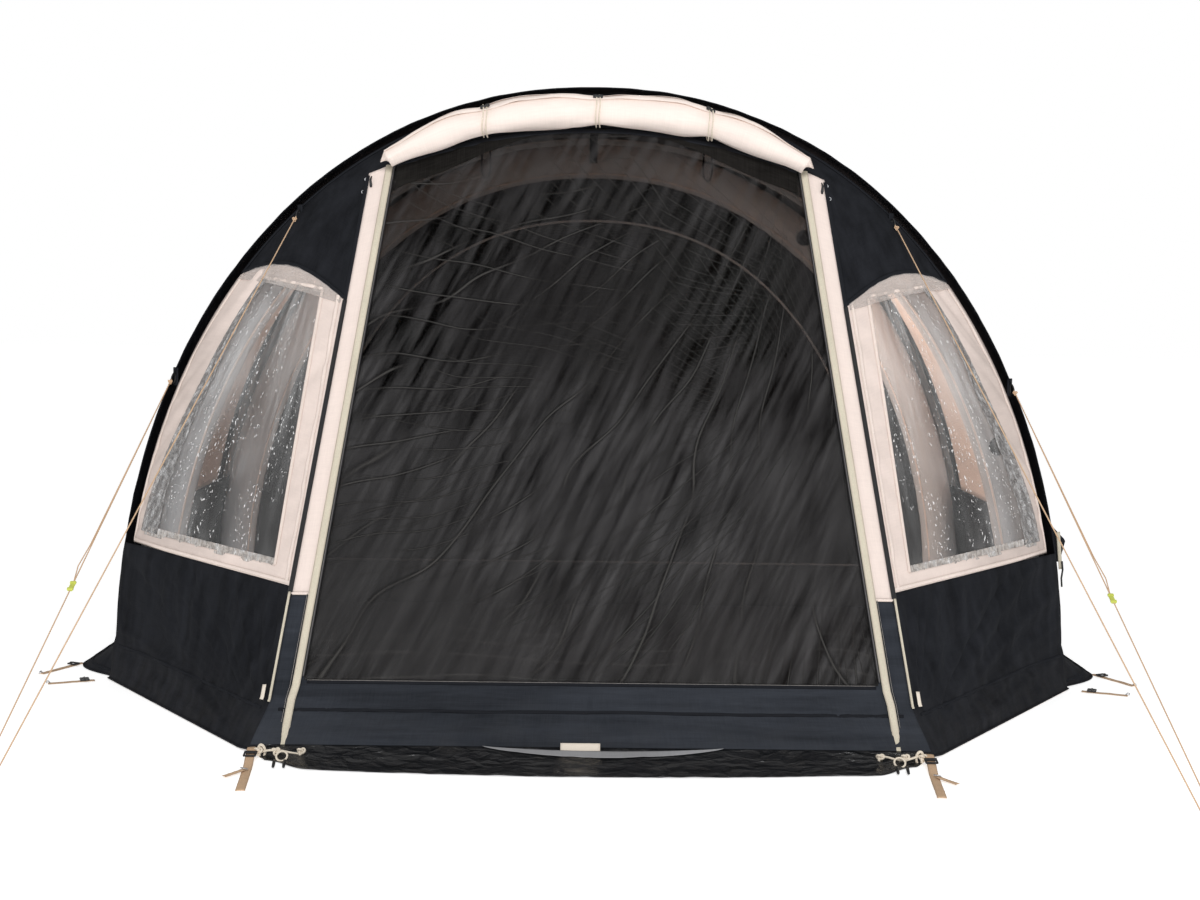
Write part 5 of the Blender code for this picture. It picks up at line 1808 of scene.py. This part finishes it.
def make_camera():
    """The camera, at the place and turn that the photograph was taken from."""
    camera = bpy.data.objects.new("camera", bpy.data.cameras.new("camera"))
    bpy.context.scene.collection.objects.link(camera)
    camera.data.lens = LENS_MM
    camera.data.sensor_width = SENSOR_MM
    ahead = at(math.sin(CAMERA_YAW), math.cos(CAMERA_YAW), 0.0)
    forward = ahead * math.cos(CAMERA_PITCH) + UP * math.sin(CAMERA_PITCH)
    level = at(math.cos(CAMERA_YAW), -math.sin(CAMERA_YAW), 0.0)
    up = level.cross(forward)
    right = math.cos(CAMERA_ROLL) * level + math.sin(CAMERA_ROLL) * up
    top = -math.sin(CAMERA_ROLL) * level + math.cos(CAMERA_ROLL) * up
    turn = Matrix((right, top, -forward)).transposed().to_4x4()
    camera.matrix_world = Matrix.Translation(CAMERA_PLACE) @ turn
    bpy.context.scene.camera = camera


def make_area_light(name, place, target, size, power, colour=WHITE, shown=True):
    """A round lamp turned towards a point. One that isn't shown lights cloth but isn't seen itself."""
    lamp = bpy.data.objects.new(name, bpy.data.lights.new(name, "AREA"))
    bpy.context.scene.collection.objects.link(lamp)
    lamp.data.shape = "DISK"
    lamp.data.size = size
    lamp.data.energy = power
    lamp.data.color = colour
    lamp.location = place
    lamp.rotation_euler = (Vector(place) - Vector(target)).to_track_quat("Z", "Y").to_euler()
    lamp.visible_camera = shown
    lamp.visible_glossy = shown


def make_world():
    """White behind everything, and softer where it lights the tent."""
    world = bpy.data.worlds.new("studio")
    world.use_nodes = True
    background = world.node_tree.nodes["Background"].inputs
    background["Color"].default_value = (*WHITE, 1.0)
    nodes = Nodes(world.node_tree)
    seen = nodes.value("LightPath", "Is Camera Ray", {})
    nodes.feed(background["Strength"], seen.ramp(0.0, 1.0, WORLD_LIGHT, 1.0))
    bpy.context.scene.world = world


def make_studio():
    """The white surroundings, the glowing floor, the key light and two warm lights inside the tent."""
    make_world()
    bm = bmesh.new()
    bmesh.ops.create_grid(bm, x_segments=1, y_segments=1, size=FLOOR_HALF)
    floor = bpy.data.objects.new("floor", finished_mesh("floor", bm, smooth=False))
    bpy.context.scene.collection.objects.link(floor)
    pale = Finish("pale_floor", None, 0.9, 0.1)
    pale.shader["Base Color"].default_value = (FLOOR_SHADE, FLOOR_SHADE, FLOOR_SHADE, 1.0)
    pale.shader["Emission Color"].default_value = (*WHITE, 1.0)
    pale.shader["Emission Strength"].default_value = FLOOR_GLOW
    floor.data.materials.append(pale.material)
    make_area_light("key", (0.3, -8.0, 4.4), (0.0, 0.0, 0.9), 2.0, KEY_POWER)
    make_area_light("roof_glow", (0.2, 0.75, 0.9), (0.2, 0.75, 3.0), 1.3, ROOF_GLOW, WARM, False)
    make_area_light("side_glow", (0.1, 0.7, 1.1), (3.0, 0.9, 0.9), 0.8, SIDE_GLOW, WARM, False)
    bpy.context.scene.view_settings.view_transform = "Standard"


# The tent, part by part.

def make_tunnel():
    """The roof, the arches' sleeves and tubes, the sides and the floor."""
    for word, y_from in (("front", FRONT_ARCH_Y), ("rear", REAR_SLEEVE_Y)):
        cloth(f"{word}_arch_cover", (300, 14), arch_skin(y_from), "dark", [f"{word}_arch_sleeve"],
              [f"{word}_air_tube"])
    for word, span, end in (("living", LIVING_SPAN, "front"), ("bedroom", BEDROOM_SPAN, "rear")):
        cloth(f"{word}_roof", (190, 60), canopy_skin(span), "cream", [f"{word}_canopy"],
              [f"{end}_arch_cover"])
    cloth("middle_band", (240, 8), band_skin, "dark", ["middle_arch_band"], ["middle_air_tube"])
    make_tube("front", TUBE_SETBACK)
    make_tube("middle", MIDDLE_ARCH_Y)
    make_tube("rear", REAR_ARCH_Y - TUBE_SETBACK)
    make_valve("middle_valve", 0.92, MIDDLE_ARCH_Y)
    make_valve("front_valve", 1.45, TUBE_SETBACK)
    for side, word in WORDS.items():
        wall = f"side_wall_{word}"
        roofs = ["living_roof", "bedroom_roof"]
        cloth(wall, (160, 30), side_wall_skin(side), "dark", [f"base_panel_{word}"], roofs)
        cloth(f"side_skirt_{word}", (300, 12), skirt_skin(side), "dark", [f"skirt_{word}"], [wall])
        make_side_door(side)
    make_tunnel_seams()
    make_inner_wall()
    cloth("floor_cloth", (50, 70), floor_skin, "floor", ["groundsheet"], [], "laid",
          inside=at(0.0, 1.8, FAR_BELOW))


def make_hood(word, bay):
    name = f"{word}_hood"
    cloth(name, (150, 24), hood_skin(bay), "dark", [f"{word}_upper_panel"], [f"{word}_arch_cover"])
    make_hood_seams(name, bay)


def make_front_bay():
    make_hood("front", FRONT_BAY)
    cloth("mosquito_door", (110, 110), mesh_door_skin(), "net", ["mesh_door"], ["front_hood"],
          thickness=FILM)
    cloth("sill", (200, 48), sill_skin(), "sill", ["front_sill_panel"], ["mosquito_door"],
          cut_out=in_mesh)
    make_sill_trims()
    make_mud_flap()
    make_roll()
    make_roll_ties()
    for side, word in WORDS.items():
        panel = f"front_side_{word}"
        cloth(panel, (60, 80), side_panel_skin(FRONT_BAY, side), "side_cream", [f"window_panel_{word}"],
              ["front_hood"], cut_out=in_window)
        make_window(side)
        cloth(f"front_side_base_{word}", (90, 46), side_base_skin(FRONT_BAY, side), "dark",
              [f"front_base_{word}"], [panel])
        cloth(f"strip_{word}", (8, 140), strip_skin(side), "cream", [f"door_strip_{word}"], ["front_hood"])
        make_front_trims(side)
    make_vent_flap()


def make_rear_bay():
    make_hood("rear", REAR_BAY)
    cloth("rear_wall", (90, 70), rear_wall_skin(STRIP_BOTTOM), "cream", ["rear_centre_panel"],
          ["rear_hood"])
    cloth("rear_wall_base", (90, 30), rear_wall_skin(0.0, STRIP_BOTTOM), "dark", ["rear_base_centre"],
          ["rear_hood"])
    for side, word in WORDS.items():
        panel = f"rear_side_{word}"
        cloth(panel, (44, 60), side_panel_skin(REAR_BAY, side), "cream", [f"rear_side_panel_{word}"],
              ["rear_hood"])
        cloth(f"rear_side_base_{word}", (60, 32), side_base_skin(REAR_BAY, side), "dark",
              [f"rear_base_{word}"], [panel])
    make_rear_trims()


def make_guying():
    for place_word, bay in (("front", FRONT_BAY), ("rear", REAR_BAY)):
        for side in WORDS:
            make_guy_rope(place_word, bay, side)
            make_side_straps(place_word, bay, side)
            make_corner_strap(place_word, bay, side)
            if bay is FRONT_BAY:
                make_corner_cord(side)


def main():
    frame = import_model()
    make_camera()
    make_studio()
    make_finishes()
    make_tunnel()
    make_front_bay()
    make_rear_bay()
    make_guying()
    for name, node in frame["nodes"].items():
        if "peg" in name:
            node.data.materials[0] = FINISH["steel"].material


main()
